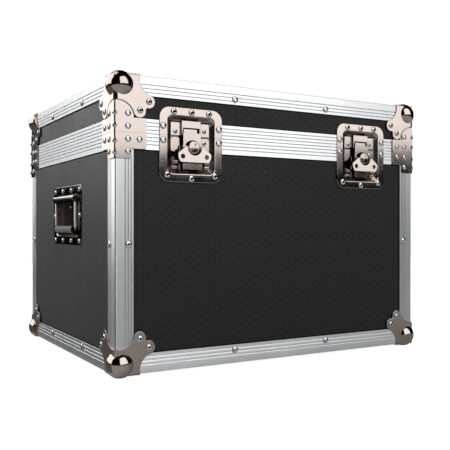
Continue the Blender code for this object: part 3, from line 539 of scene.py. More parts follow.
def rubber(name, colour, gloss):
    """Moulded rubber: fine pitting and a dusty bloom."""
    tree, shader, where = start_material(name)
    bloom = haze(tree, where, 60.0, 0.55, 0.75)
    pits = add_node(tree, "ShaderNodeTexVoronoi", {"Vector": where, "Scale": 900.0})
    tone = blend_colours(tree, bloom["Mask"], shade(colour), shade(colour, 1.5))
    connect(tree, shader, {"Base Color": tone, "Roughness": bloom["Value"], "Specular IOR Level": gloss})
    add_bump(tree, shader, pits.outputs["Distance"], 0.05 * MM, 0.4)


def finishes(*names):
    return [bpy.data.materials[name] for name in names]


# Properties
class TrunkSizes(bpy.types.PropertyGroup):
    """Sizes of the details that the looks add to the model"""

    groove_width: bpy.props.FloatProperty(
        name="Groove width", description="Width of a groove in the edging", default=1.5 * MM, unit="LENGTH"
    )
    groove_depth: bpy.props.FloatProperty(
        name="Groove depth", description="Depth of a groove in the edging", default=0.8 * MM, unit="LENGTH"
    )
    rivet_radius: bpy.props.FloatProperty(
        name="Rivet radius", description="Radius of a domed rivet head", default=5 * MM, unit="LENGTH"
    )
    rivet_height: bpy.props.FloatProperty(
        name="Rivet height", description="How far a rivet head stands up", default=2.3 * MM, unit="LENGTH"
    )
    corner_round: bpy.props.FloatProperty(
        name="Corner rounding", description="Radius on the edging's corner", default=0.9 * MM, unit="LENGTH"
    )


class TrunkColours(bpy.types.PropertyGroup):
    """Colours of the trunk's finishes"""

    laminate: bpy.props.FloatVectorProperty(
        name="Laminate", description="Colour of the panels", default=(0.009, 0.009, 0.0092), subtype="COLOR"
    )
    aluminium: bpy.props.FloatVectorProperty(
        name="Aluminium", description="Colour of the edging", default=(0.71, 0.72, 0.725), subtype="COLOR"
    )
    nickel: bpy.props.FloatVectorProperty(
        name="Nickel", description="Colour of the fittings", default=(0.445, 0.387, 0.355), subtype="COLOR"
    )
    rubber: bpy.props.FloatVectorProperty(
        name="Rubber", description="Colour of the handle grips", default=(0.12, 0.122, 0.12), subtype="COLOR"
    )


class FinishesOperator(bpy.types.Operator):
    """Makes the shared node groups and every finish"""

    bl_idname = "trunk.finishes"
    bl_label = "Finishes"

    def execute(self, context):
        colours = context.scene.trunk_colours
        black, bright, plated = colours.laminate, colours.aluminium, colours.nickel
        haze_group()
        drawn_lines_group()
        honeycomb_group()
        laminate("laminate_front", "Z", "X", shade(black), 0.31)
        # Painted light: the side panels take a lighter copy of the laminate, 1.3 times its colour
        laminate("laminate_side", "Z", "Y", shade(black, 1.3), 0.85)
        laminate("laminate_top", "Y", "X", shade(black), 0.31)
        aluminium("aluminium_across", "X", shade(bright), 0.1)
        # Painted shade: the runs from front to back take a darker copy of the aluminium
        aluminium("aluminium_deep_shaded", "Y", shade(bright, 0.85), 0.085)
        aluminium("aluminium_low", "X", shade(bright), 0.117)
        aluminium("aluminium_low_deep_shaded", "Y", shade(bright, 0.85), 0.075)
        # Painted light: the posts' front legs take a darker copy of the aluminium and their side legs a lighter one
        aluminium("aluminium_upright_shaded", "Z", shade(bright, 0.84), 0.03)
        aluminium("aluminium_upright_side_lit", "Z", shade(bright, 1.08), 0.13)
        nickel("nickel", shade(plated), 0.08, 0.14)
        nickel("rivet_zinc", (0.6, 0.615, 0.63), 0.08, 0.14)
        # Painted shade: darker copies of the nickel for the floors and walls of the dishes' cups
        nickel("nickel_painted_shade", shade(plated, 0.25), 0.12, 0.2)
        nickel("nickel_wall_shaded", shade(plated, 0.9), 0.24, 0.32)
        nickel("nickel_bail", shade(plated), 0.08, 0.14, 0.11)
        nickel("spring_wire", (0.32, 0.32, 0.33), 0.25, 0.35)
        rubber("rubber", colours.rubber, 0.4)
        rubber("shadow_gap", (0.003, 0.003, 0.003), 0.02)
        return {"FINISHED"}


# Panels
PANEL_FACINGS = {"front": "front", "back": "front", "top": "top", "bottom": "top"}
SHADE_STRIP_LEVELS = (-1.7 * MM, -1.35 * MM)
SHADE_STRIP_WIDTH = 1.5 * MM


class PanelsOperator(bpy.types.Operator):
    """Gives the model's own panels their laminate, and paints shade round their edges as thin black strips"""

    bl_idname = "trunk.panels"
    bl_label = "Panels"

    def execute(self, context):
        for name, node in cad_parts.items():
            if "panel" in name:
                # Side panels take the lighter copy of the laminate, as painted light
                facing = PANEL_FACINGS.get(name.split("_")[-1], "side")
                node.data.materials.clear()
                node.data.materials.append(bpy.data.materials["laminate_" + facing])
        # Painted shade: a thin black strip just below each panel's face, round its edges, where the edging's step
        # casts shade
        for body, low, high in (("base", UNDERSIDE + EDGING, RIM_FLOOR), ("lid", RIM_TOP, TOP - EDGING)):
            patches = []
            for place, half, _ in FACES:
                outline = rectangle((EDGING - half, low), (half - EDGING, high))
                patches += plate(outline, *SHADE_STRIP_LEVELS, place, 0.02 * MM, [inset(outline, SHADE_STRIP_WIDTH)])
            piece("panel_shade_strips_" + body, patches, finishes("shadow_gap"), body, "black_laminate")
        return {"FINISHED"}


# Edging: grooves are in millimetres from a leg's far edge, and sections in millimetres from the corner
RING_GROOVES = (5.4, 11.2, 17.0)
POST_GROOVES = (4.4, 9.0, 13.8)
RIM_GROOVES = (5.4, 11.0, 16.6)
FAR_EDGE = ((29.6, 0), (30, 0.4), (30, 1.5))
INNER_LEG = ((2.6, 1.5), (12.6, 11.5), (28, 11.5), (28, 12.7))
SLIT_CORNER = ((0, 2.2), (0.15, 1.5), (1.9, 1.9), (1.5, 0.15))
EDGING_FINISHES = (
    "aluminium_across",
    "aluminium_deep_shaded",
    "aluminium_upright_shaded",
    "shadow_gap",
    "aluminium_upright_side_lit",
)
# Slots of the posts: a darker front leg and a lighter side leg as painted light, and a black slit as painted shade
UPRIGHT_FRONT_SHADED, SLIT, UPRIGHT_SIDE_LIT = 2, 3, 4
RIM_WALL = 1.5 * MM
RIVET_INSET = 21.5 * MM
RIVET_MIDDLE = 0.2


def ribbed_face(sizes, grooves, sloping):
    """Outer face of one leg as (along the face, depth): flat, a V at each groove, and a rounded far edge.

    A sloping groove has a wide, shallow slope before its V, as on the bottom edging.
    """
    half, depth = sizes.groove_width / 2, sizes.groove_depth
    points = []
    for groove in reversed(grooves):
        place = EDGING - groove * MM
        slope = [(place - 1.8 * half, 0), (place - 0.8 * half, 0.3 * depth)]
        points += slope if sloping else [(place - half, 0)]
        points += [(place, depth), (place + half, 0)]
    return [*points, *in_mm(FAR_EDGE)]


def edging_section(sizes, grooves, slit, sloping=False):
    """Double-angle section, mirrored about its diagonal: ribbed outer legs, and plain inner legs that join them."""
    half = [*ribbed_face(sizes, grooves, sloping), *in_mm(INNER_LEG)]
    other = [(b, a) for a, b in reversed(half)]
    start = in_mm([(2.2, 0)]) if slit else []
    corner = in_mm(SLIT_CORNER) if slit else arc((sizes.corner_round,) * 2, sizes.corner_round, 180, 270, 4)
    return np.array([*start, *half, (12.7 * MM, 12.7 * MM), *other, *corner])


def carried_round(section, level=0.0, upwards=1):
    """A section of (inset, height) carried round the trunk and mitred.

    Its corners are at (side*(W-inset), C + end*(D-inset)).
    """
    depth, height = section[:, 0], level + upwards * section[:, 1]
    corners = ((-1, -1), (1, -1), (1, 1), (-1, 1))
    rows = [trunk_corner(side, end, depth, depth, height) for side, end in corners]
    faces = grid_faces(2, len(section), False, True)
    # The left and right runs take the second finish, a darker copy of the aluminium, as painted shade
    return [patch([rows[i], rows[(i + 1) % 4]], faces, True, i % 2) for i in range(4)]


def standing(section, side, end, low, high):
    """A section of (inset in x, inset in y) raised between two heights, with painted shade in the slit at its
    corner.
    """
    u, v = section.T
    loops = [trunk_corner(side, end, u, v, np.full(len(u), z)) for z in (low, high)]
    # Painted light: the front leg takes the darker copy of the aluminium and the side leg the lighter one
    slots = np.full(len(u), UPRIGHT_FRONT_SHADED)
    slots[len(u) // 2 - 1 :] = UPRIGHT_SIDE_LIT
    # Painted shade: the faces in the slit take the black finish
    slots[-3:-1] = SLIT
    faces = cap_faces([section])
    made = [patch(loops, grid_faces(2, len(u), False, True), True, slots)]
    return made + [patch(loop, faces, False, UPRIGHT_FRONT_SHADED) for loop in loops]


def rim_section(sizes, face, far, start, width, drop):
    """Closing rim as (inset, height): a grooved outer wall, a face with a groove or tongue, and an inner wall."""
    sign = 1 if far > face else -1
    half = sizes.groove_width / 2
    outer = [(0, far)]
    for groove in reversed(RIM_GROOVES):
        z = face + sign * groove * MM
        outer += [(0, z + sign * half), (sizes.groove_depth, z), (0, z - sign * half)]
    outer += [(0, face + sign * 0.5 * MM), (0.5 * MM, face)]
    end, low = start + width, face - drop
    middle = [(start, face), (start, low), (end, low), (end, face), (13 * MM, face), (13 * MM, far)]
    if sign > 0:
        back = [(11.5 * MM, face + RIM_WALL), (RIM_WALL, face + RIM_WALL)]
    else:
        under, lip = low - RIM_WALL, face - RIM_WALL
        back = [(11.5 * MM, under), (start - RIM_WALL, under), (start - RIM_WALL, lip), (RIM_WALL, lip)]
    return np.array([*outer, *middle, (11.5 * MM, far), *back, (RIM_WALL, far)])


def apply_steps(made):
    """The piece's modifiers made into its mesh."""
    bpy.context.view_layer.update()
    graph = bpy.context.evaluated_depsgraph_get()
    made.data = bpy.data.meshes.new_from_object(made.evaluated_get(graph))
    made.modifiers.clear()
    mark_sharp(made.data)


def carve(made, outline, low, high, operation="DIFFERENCE"):
    """Takes away a block at the front, its outline carried between two levels, or keeps only what is in it."""
    loops = [placed(outline, level, on_front) for level in (low, high)]
    cutter = make_mesh("cutter", skin(loops, smooth=False), [])
    step = made.modifiers.new("Carve", "BOOLEAN")
    step.operation = operation
    step.solver = "EXACT"
    step.object = cutter
    apply_steps(made)
    bpy.data.objects.remove(cutter)


class EdgingOperator(bpy.types.Operator):
    """Builds the ribbed aluminium edging and the closing rims"""

    bl_idname = "trunk.edging"
    bl_label = "Edging"

    def execute(self, context):
        sizes = context.scene.trunk_sizes
        metals = finishes(*EDGING_FINISHES)
        low_metals = finishes("aluminium_low", "aluminium_low_deep_shaded")
        patches = carried_round(edging_section(sizes, RING_GROOVES, False, True), UNDERSIDE)
        piece("edging_bottom", patches, low_metals, "base", "satin_aluminium", "edge_bottom")
        patches = carried_round(edging_section(sizes, RING_GROOVES, False), TOP, -1)
        piece("edging_top", patches, metals, "lid", "satin_aluminium", "edge_top")
        slit = edging_section(sizes, POST_GROOVES, True)
        lower = rim_section(sizes, JOINT - PROUD / 2, RIM_FLOOR, 5.2 * MM, 4.5 * MM, 4.5 * MM)
        upper = rim_section(sizes, JOINT + PROUD / 2, RIM_TOP, 5.8 * MM, 3.3 * MM, 3 * MM)
        rims = {"base": carried_round(lower), "lid": carried_round(upper)}
        for where, side, end in CORNERS:
            patches = standing(slit, side, end, UNDERSIDE + EDGING + PROUD, RIM_FLOOR - PROUD)
            node = f"edge_upright_{where}"
            piece(f"edging_upright_{where}", patches, metals, "base", "satin_aluminium", node)
            rims["lid"] += standing(slit, side, end, RIM_TOP + 0.05 * MM, TOP - EDGING - PROUD)
        for body, patches in rims.items():
            rim = make_mesh("closing_rim_" + body, patches, metals)
            for x in (-LATCH_X, LATCH_X):
                room = rectangle((x - 42.3 * MM, RIM_FLOOR - 5 * MM), (x + 42.3 * MM, RIM_TOP + 5 * MM))
                carve(rim, room, -7.5 * MM, 5 * MM)
            show(rim, body, "satin_aluminium", "rim_" + body)
        for place, half, spread in FACES:
            for body, height in (("lid", TOP - RIVET_INSET), ("base", UNDERSIDE + RIVET_INSET)):
                add_rivets(body, [(-spread, height), (spread, height)], 0, place, 1.12)
            edge = half - RIVET_INSET
            add_rivets("base", [(-edge, RIVET_MIDDLE), (edge, RIVET_MIDDLE)], 0, place, 1.12)
        return {"FINISHED"}


# Rivets are gathered while the other pieces are made, then built as one mesh for each body
RIVETS = {"base": [], "lid": []}
BORE = 0.34


def add_rivets(body, places, level, place, scale=1.0, hollow=False):
    """Notes rivets at (u, v) places on a plate whose face is at a level; a hollow one has painted shade, black, in
    its bore.
    """
    for u, v in places:
        RIVETS[body].append((u, v, level, place, scale, hollow))


def rivet_heads(sizes, body):
    """Blind rivet heads: a dome with radius R*cos(a) and height H*sin(a) that ends at a bore with a floor."""
    angle = np.radians([0, 16, 32, 48, 62])
    along = np.concatenate([[-0.6], 0.2 + 0.8 * np.sin(angle), [0.84]]) * sizes.rivet_height
    radius = np.concatenate([[0.97], np.cos(angle), [BORE + 0.06]]) * sizes.rivet_radius
    inner_along = np.array([0.84, 0.3, 0.3]) * sizes.rivet_height
    inner_radius = np.array([BORE + 0.06, BORE - 0.02, 0.01]) * sizes.rivet_radius
    turn = np.linspace(0, 2 * math.pi, 20, endpoint=False)
    made = []
    for u, v, level, place, scale, hollow in RIVETS[body]:
        for heights, widths, inner in ((along, radius, False), (inner_along, inner_radius, True)):
            across = widths[:, None] * scale
            out = level + heights[:, None] * scale + 0 * turn
            points = place(u + across * np.cos(turn), v + across * np.sin(turn), out)
            # Painted shade: a hollow rivet's bore takes the black finish
            made += skin(points, not inner, inner, True, int(inner and hollow))
    return made


class RivetsOperator(bpy.types.Operator):
    """Builds the heads of all the rivets"""

    bl_idname = "trunk.rivets"
    bl_label = "Rivets"

    def execute(self, context):
        for body in RIVETS:
            heads = rivet_heads(context.scene.trunk_sizes, body)
            piece("rivets_" + body, heads, finishes("rivet_zinc", "shadow_gap"), body, "polished_nickel")
        return {"FINISHED"}


# Corners: sizes in millimetres inwards from the corner, and for the braces upwards from the joint
ARCH, ARCH_RADIUS = (65, 5), 25.5
LOBE, LOBE_RADIUS, NOTCH = (53.8, 39), 10.5, 5.5
LOBE_RIVETS = ((54, 39), (39.5, 53))
SLIT_WIDTH, SLIT_START = 3.2, 19.5
BALL_CENTRE, BALL_RADIUS = (12, 12, 15), 21.5
PRESSED = -0.4 * MM
BELOW_ALL = -1.0
BRACE_SHADE_STRIP = ((-1.1, -1.1), (0.3, 0.3))
# Each brace half: its body, the ends of its black strip of painted shade, its rivets, and the heights of those on
# the upright edge
BRACES = (
    ("base", (-39.3, -0.1), ((20, -10.2), (20, -28.7), (38.5, -10)), (-13, -30)),
    ("lid", (0.1, 45), ((20, 9.2), (20, 28.3), (38.5, 9)), (28.6, 10)),
)


def corner_place(side, end, upwards, height):
    """Turns (u, v, w) pointing into the trunk from a corner into the trunk's own frame."""

    def place(u, v, w):
        u, v, w = np.broadcast_arrays(u, v, w)
        return trunk_corner(side, end, u, v, height + upwards * w)

    return place


def leg_outline():
    """A leg of a ball corner: along the first arch, round two notched rivet lobes, back along the second arch."""
    apart = math.dist(ARCH, LOBE)
    towards = math.degrees(math.atan2(LOBE[1] - ARCH[1], LOBE[0] - ARCH[0]))
    share = (ARCH_RADIUS**2 + apart**2 - LOBE_RADIUS**2) / (2 * ARCH_RADIUS * apart)
    meets = towards + math.degrees(math.acos(share))
    begins = 180 + math.degrees(math.asin(ARCH[1] / ARCH_RADIUS))
    half = arc(ARCH, ARCH_RADIUS, begins, meets, 12)
    start = math.degrees(math.atan2(half[-1, 1] - LOBE[1], half[-1, 0] - LOBE[0]))
    waist = 135 - math.degrees(math.asin(NOTCH / LOBE_RADIUS))
    half = np.concatenate([half, arc(LOBE, LOBE_RADIUS, start, waist, 16)[1:]])
    edge = half[0, 0]
    return in_mm([(-0.3, -0.3), (edge, -0.3), *half, *half[::-1, ::-1], (-0.3, edge)])


def faces_about(place):
    """The three faces round a corner, each as (u, v, w) with w outwards; the first two are upright."""
    return (
        lambda u, v, w: place(u, -w, v),
        lambda u, v, w: place(-w, u, v),
        lambda u, v, w: place(u, v, -w),
    )


def slit_outline(outline):
    """A leg's outline cut back beside the upright edge, between the ball and the arch."""
    kept = outline[(outline[:, 1] < SLIT_START * MM) | (outline[:, 0] > SLIT_WIDTH * MM)]
    arch = ARCH[0] - math.sqrt(ARCH_RADIUS**2 - (ARCH[1] - SLIT_WIDTH) ** 2)
    return np.concatenate([kept, in_mm([(SLIT_WIDTH, arch), (SLIT_WIDTH, SLIT_START), (-0.3, SLIT_START)])])


def ball_shape(place, lowest):
    """A ball of radius R about its centre, its part inside the trunk pressed flat against the nearest face."""
    u = np.linspace(0, math.pi, 33)[:, None]
    v = np.linspace(0, 2 * math.pi, 64, endpoint=False)[None]
    ball = np.stack([np.sin(u) * np.cos(v), np.sin(u) * np.sin(v), np.cos(u) + 0 * v], axis=-1)
    points = in_mm(BALL_CENTRE) + BALL_RADIUS * MM * ball
    nearest = points.min(axis=-1, keepdims=True)
    points = np.where((nearest > PRESSED) & (points == nearest), PRESSED, points)
    points[..., 2] = np.maximum(points[..., 2], lowest)
    return skin(place(points[..., 0], points[..., 1], points[..., 2]))


def ball_corner(place, lowest, strip_slot):
    """Three legs of plate, each in its own face, and a strip along the upright edge, round the ball; with
    strip_slot 1 the strip is black, as painted shade beside the edge.
    """
    outline = leg_outline()
    slit = slit_outline(outline)
    made = []
    for face, shape in zip(faces_about(place), (slit, slit, outline)):
        made += plate(shape, PROUD, PLATE_FACE, face, 0.75 * MM)
    strip = in_mm(rectangle((-0.9, -0.9), (3.6, 3.6)))
    made += plate(strip, 19 * MM, 39.3 * MM, place, 0.05 * MM, slot=strip_slot)
    return made + ball_shape(place, lowest)


def brace_outline(upper):
    """Half of a corner brace as (in from the corner, up from the joint), anticlockwise."""
    if upper:
        dome = arc((5, 22), 24.3, math.degrees(math.acos(21 / 24.3)), 100, 12)
        return in_mm([(0, 0.03), (50, 0.03), (50, 20.8), (48.5, 22.3), (26, 22.3), *dome, (0, 45.2)])
    foot, corner = arc((3, -36.5), 3, 180, 270, 6), arc((22, -35.5), 4, -90, 0, 6)
    return in_mm([*foot, *corner, (26, -24.3), (48.5, -24.3), (50, -22.8), (50, -0.03), (0, -0.03)])


class CornersOperator(bpy.types.Operator):
    """Builds the eight ball corners and the four braces in their two halves"""

    bl_idname = "trunk.corners"
    bl_label = "Ball corners and braces"

    def execute(self, context):
        metal = finishes("nickel", "shadow_gap")
        for where, side, end in CORNERS:
            self.ball("base", f"bottom_{where}", corner_place(side, end, 1, UNDERSIDE), -UNDERSIDE, 0, metal)
            # The top corners' strips take the black finish, as painted shade
            self.ball("lid", f"top_{where}", corner_place(side, end, -1, TOP), BELOW_ALL, 1, metal)
            self.braces(where, corner_place(side, end, 1, JOINT), metal)
        return {"FINISHED"}

    def ball(self, body, where, place, lowest, strip_slot, metal):
        patches = ball_corner(place, lowest, strip_slot)
        piece(f"corner_{where}", patches, metal, body, "polished_nickel", f"ball_corner_{where}")
        for face in faces_about(place):
            add_rivets(body, in_mm(LOBE_RIVETS), PLATE_FACE, face, 1.0, True)

    def braces(self, where, place, metal):
        faces = faces_about(place)[:2]

        def edge(u, v, w):
            return place((u - w) / math.sqrt(2), (-u - w) / math.sqrt(2), v)

        for body, ends, rivets, heights in BRACES:
            outline = brace_outline(body == "lid")
            # Painted shade: a black strip along the upright edge where the two plates meet
            patches = plate(in_mm(rectangle(*BRACE_SHADE_STRIP)), *in_mm(ends), place, 0.05 * MM, slot=1)
            for face in faces:
                patches += plate(outline, PROUD, PLATE_FACE, face, 0.15 * MM)
                plain = body == "lid" and where == "front_left" and face is faces[0]
                add_rivets(body, in_mm(rivets[:2] if plain else rivets), PLATE_FACE, face, 0.95)
            label = f"brace_{body}_{where}"
            piece(label, patches, metal, body, "polished_nickel", f"corner_{label}")
            add_rivets(body, in_mm([(0, z) for z in heights]), 1.2 * MM, edge, 0.8)


# Latches: sizes in millimetres from the middle of the latch, at the joint or at the boss
# Dish finishes: the nickel, a much darker copy for the cup floor, black, and a slightly darker copy for the cup
# walls; the last three are painted shade
DISH_FINISHES = ("nickel", "nickel_painted_shade", "shadow_gap", "nickel_wall_shaded")
LATCH_FLANGE, LATCH_FLOOR = 1.2 * MM, -5.8 * MM
LATCH_BOX = ((-55.2, -72), (55.2, 44))
LATCH_CUP = ((13.9, 13), (17, 9))
LATCH_LEAN = 0.006
LATCH_GAP = 0.15 * MM
FLOOR_BOX = ((-34.3, -52), (34.3, 24))
# On each half of a dish: three hollow rivets along its end, and two plain ones at its sides
DISH_RIVETS = {
    "lid": (((-31, 37), (0, 37), (31, 37)), ((-49, 14), (49, 14))),
    "base": (((-42, -61), (0, -66), (42, -61)), ((-49, -8), (49, -8))),
}
FOOT_FACE = -4 * MM
CRANK = 4 * MM
WING_SHOULDER = ((14.3, 1.9), (29, -9.5), (29, -15.5), (25, -23.3))
BOSS_BODY = ((5.5, 9.8), (5.7, 10), (10.2, 10), (10.9, 9.7), (11.3, 9.0), (11.5, 8.3))
BOSS_FACE = ((11.35, 7.7), (11.5, 7.1), (11.6, 0.05))
SCREW_DOME = ((11.4, 1.9), (11.8, 1.85), (12.25, 1.4), (12.5, 0.7), (12.55, 0.03))
FORWARDS, SIDEWAYS, ALONG_END = (0, -1, 0), (1, 0, 0), (0, 1, 0)


def halved(made, height, upper):
    """The part of a piece above or below a level, with the cut filled."""
    bm = bmesh.new()
    bm.from_mesh(made.data)
    geometry = bm.verts[:] + bm.edges[:] + bm.faces[:]
    where = {"plane_co": (0, 0, height), "plane_no": (0, 0, 1)}
    cut = bmesh.ops.bisect_plane(bm, geom=geometry, clear_inner=upper, clear_outer=not upper, **where)
    edges = [item for item in cut["geom_cut"] if isinstance(item, bmesh.types.BMEdge)]
    bmesh.ops.edgeloop_fill(bm, edges=edges)
    bmesh.ops.recalc_face_normals(bm, faces=bm.faces)
    bm.to_mesh(made.data)
    bm.free()


def dish_outline(low, high, radius, bends):
    """A rounded rectangle with two more points on each upright side, as near to the bends as they can be."""
    outline = rounded_rectangle(low, high, radius)
    steps = len(outline) // 4
    bends = np.clip(bends, low[1] + radius, high[1] - radius)
    right = [(high[0], bend) for bend in bends]
    left = [(low[0], bend) for bend in bends[::-1]]
    return np.concatenate([outline[:steps], right, outline[steps : 3 * steps], left, outline[3 * steps :]])


def pressed_dish(place, low, high, cup, slope, levels, bends, lean):
    """A pressed dish of nested outlines, from the floor over the flange to the back, with painted shade in its cup.

    The cup gives the widths of the rim at the sides and the ends, and the radii of its outer and inner corners.
    The flange leans back beyond its bends: level = face - lean * distance past the bend.
    """
    face, floor = levels
    (side_rim, end_rim), (outer, inner) = in_mm(cup)
    walls = [
        (slope + 1.6, floor),
        (slope + 0.4, floor + 0.2 * MM),
        (slope - 0.7, floor + 0.9 * MM),
        (1.0, face - 1.5 * MM),
        (0.35, face - 0.55 * MM),
        (-0.4, face - 0.12 * MM),
        (-1.4, face),
    ]
    loops = [(side_rim + d * MM, end_rim + d * MM, inner - min(d, 0) * MM, level) for d, level in walls]
    rim = [(0.9, 0.0), (0.25, 0.2), (0.0, 0.5), (0.0, 0.9)]
    loops += [(d * MM, d * MM, outer - d * MM, face - drop * MM) for d, drop in rim]
    back = [(-0.9, face - 0.9 * MM), (slope - 0.9, floor - 0.9 * MM)]
    loops += [(side_rim + d * MM, end_rim + d * MM, inner + 0.9 * MM, level) for d, level in back]
    rows = []
    for u, v, radius, level in loops:
        outline = dish_outline((low[0] + u, low[1] + v), (high[0] - u, high[1] - v), radius, bends)
        past = np.maximum(bends[0] - outline[:, 1], 0) + np.maximum(outline[:, 1] - bends[1], 0)
        share = min(max((level - floor) / (face - 1.5 * MM - floor), 0), 1)
        rows.append(place(outline[:, 0], outline[:, 1], level - lean * share * past))
    # Painted shade: the cup's floor takes the much darker copy and its walls the slightly darker one
    hollow = skin(rows[:2], True, False, True, 1) + skin(rows[1:4], False, False, True, 3)
    return hollow + skin(rows[3:], False, True)


def hat_section(reach, half_width, face):
    """Section of a raised bridge with a foot at each side, as (across, out)."""
    foot = LATCH_FLOOR + PROUD
    inside = [(half_width - PLATE, face - PLATE), (half_width - PLATE, foot)]
    outside = [(reach, foot), (reach, foot + PLATE), (half_width, foot + PLATE), (half_width, face)]
    return softened(mirrored([*inside, *outside]), 0.9 * MM)


def wing_outline():
    """The butterfly wing about the boss: two tips, sloping shoulders and a straight foot, softly cornered."""
    tip_in = math.degrees(math.asin(1.9 / 12.3))
    cut = arc((0, 0), 12.3, tip_in, -180 - tip_in, 24)
    shoulder = np.array(WING_SHOULDER)
    return in_mm([*cut, *softened([*(shoulder * (-1, 1)), *shoulder[::-1]], 2, 4)])


class LatchesOperator(bpy.types.Operator):
    """Builds the two butterfly latches in their dishes"""

    bl_idname = "trunk.latches"
    bl_label = "Latches"

    def execute(self, context):
        metal = finishes(*DISH_FINISHES)
        for name, side in SIDES.items():
            x = side * LATCH_X
            for part in (self.dish, self.strike, self.channel, self.hook, self.boss, self.wing):
                part(name, x, metal)
        return {"FINISHED"}

    def dish(self, name, x, metal):
        middle = (x, JOINT)
        low, high = in_mm(LATCH_BOX) + middle
        shape = (LATCH_CUP, 6, (LATCH_FLANGE, LATCH_FLOOR), (RIM_FLOOR, RIM_TOP), LATCH_LEAN)
        for body, gap in (("base", -LATCH_GAP), ("lid", LATCH_GAP)):
            made = make_mesh(f"latch_dish_{body}_{name}", pressed_dish(on_front, low, high, *shape), metal)
            halved(made, JOINT + gap, body == "lid")
            show(made, body, "polished_nickel", f"latch_dish_{body}_{name}")
            hollow, plain = DISH_RIVETS[body]
            add_rivets(body, in_mm(hollow) + middle, LATCH_FLANGE - 0.4 * MM, on_front, 1.08, True)
            add_rivets(body, in_mm(plain) + middle, LATCH_FLANGE, on_front, 1.08)

    def bridge(self, name, x, metal, body, section, ends, hole):
        """A hat section standing in the dish, with a hole, its feet rounded like the floor and its sides painted
        black as shade.
        """

        def place(u, v, w):
            return np.stack([x + u, FRONT - v, w], axis=-1)

        patches = plate(hat_section(*in_mm(section)), *ends, place, 0.25 * MM, back_edge=True)
        made = make_mesh(name, patches, metal)
        carve(made, *hole)
        carve(made, rounded_box((x, JOINT), *FLOOR_BOX, 8), LATCH_FLOOR, 15 * MM, "INTERSECT")
        # Painted shade: the upright sides take the black finish
        for face in made.data.polygons:
            face.material_index = 2 if abs(face.normal.x) > 0.8 else 0
        show(made, body, "polished_nickel", name)

    def strike(self, name, x, metal):
        window = rounded_box((x, JOINT), (-14.7, 3.2), (14.7, 13.5), 0.8, 3)
        ends = (JOINT + 1.2 * MM, JOINT + 24.4 * MM)
        hole = (window, -3 * MM, 5 * MM)
        self.bridge(f"latch_strike_{name}", x, metal, "lid", (34, 17, 0.3), ends, hole)
        add_rivets("lid", in_mm([(-26, 7), (25, 9.5)]) + (x, JOINT), FOOT_FACE, on_front, 0.75, True)

    def channel(self, name, x, metal):
        ends = (BOSS_HEIGHT - 33.6 * MM, BOSS_HEIGHT + 4.4 * MM)
        hole = (circle((x, BOSS_HEIGHT), 6.3 * MM, 32), 0, 8 * MM)
        self.bridge(f"latch_channel_{name}", x, metal, "base", (20, 17.5, 5.2), ends, hole)
        patches = []
        for end in (-1, 1):
            near, far = sorted((end * 18.2, end * 34))
            pad = rounded_box((x, JOINT), (near, -24), (far, -1.5), 4, 6)
            patches += plate(pad, -5.5 * MM, FOOT_FACE, on_front, 0.3 * MM)
            for out, drop, *sizes in ((2.6, 40, 5, 4, 1.2), (3.6, 48, 4.4, 3.2, 1)):
                lug = (x + end * 28 * MM, FRONT + out * MM, JOINT - drop * MM)
                patches += pin(lug, SIDEWAYS, *sizes, 24)
        piece(f"latch_pads_{name}", patches, metal, "base", "polished_nickel")
        add_rivets("base", [(x + 25 * MM, BOSS_HEIGHT + 9 * MM)], FOOT_FACE, on_front, 0.75, True)

    def hook(self, name, x, metal):
        """A plate with a slot for the crank, and a tip that stands in front of the strike."""
        low, high = (x - 15.7 * MM, BOSS_HEIGHT - 29 * MM), (x + 15.7 * MM, JOINT + 5.2 * MM)
        slot = rounded_box((x, BOSS_HEIGHT - CRANK), (-6.6, -2.6), (6.6, 2.6), 2.5, 4)
        outline = softened(rectangle(low, high), 1.5 * MM)
        patches = plate(outline, 1.6 * MM, 3.4 * MM, on_front, 0.3 * MM, [slot], back_edge=True)
        outline = softened(in_mm(rectangle((-14.7, 4.6), (9, 10.9))) + (x, JOINT), 0.8 * MM)
        patches += plate(outline, 0.6 * MM, 2.6 * MM, on_front, 0.3 * MM, back_edge=True)
        piece(f"latch_hook_{name}", patches, metal, f"hook_{name}", "polished_nickel", f"latch_hook_{name}")

    def boss(self, name, x, metal):
        """A turned boss on its shaft, with a shadow under it, a crank pin, two screws and the wing's pin."""
        centre = (x, FRONT, BOSS_HEIGHT)
        patches = turned([*BOSS_BODY, *BOSS_FACE], centre, FORWARDS, 48)
        patches += turned([(1.7, 6), (5.6, 6)], centre, FORWARDS, 32)
        patches += turned([(5.26, 12.2), (5.5, 12.2)], centre, FORWARDS, 32, 2)
        patches += turned([(1.3, 1.5), (3, 1.5)], (x, FRONT, BOSS_HEIGHT - CRANK), FORWARDS, 16)
        for u, v in in_mm([(1.5, 4.6), (-2.4, -2.2)]):
            patches += turned(SCREW_DOME, (x + u, FRONT, BOSS_HEIGHT + v), FORWARDS, 20)
        patches += pin((x, FRONT - 8.8 * MM, BOSS_HEIGHT), SIDEWAYS, 14, 1.6, 0.3, 16)
        piece(f"latch_boss_{name}", patches, metal, f"boss_{name}", "polished_nickel", f"latch_boss_{name}")

    def wing(self, name, x, metal):
        """A plate that leans out towards its foot, with two holes and the two lugs that hold its pin."""
        centre = (x, BOSS_HEIGHT)
        holes = [circle((x + u * MM, BOSS_HEIGHT - 14.3 * MM), 3.6 * MM, 24) for u in (-20.8, 20.8)]

        def leaning(u, v, w):
            return on_front(u, v, w + 0.035 * np.maximum(BOSS_HEIGHT - v, 0))

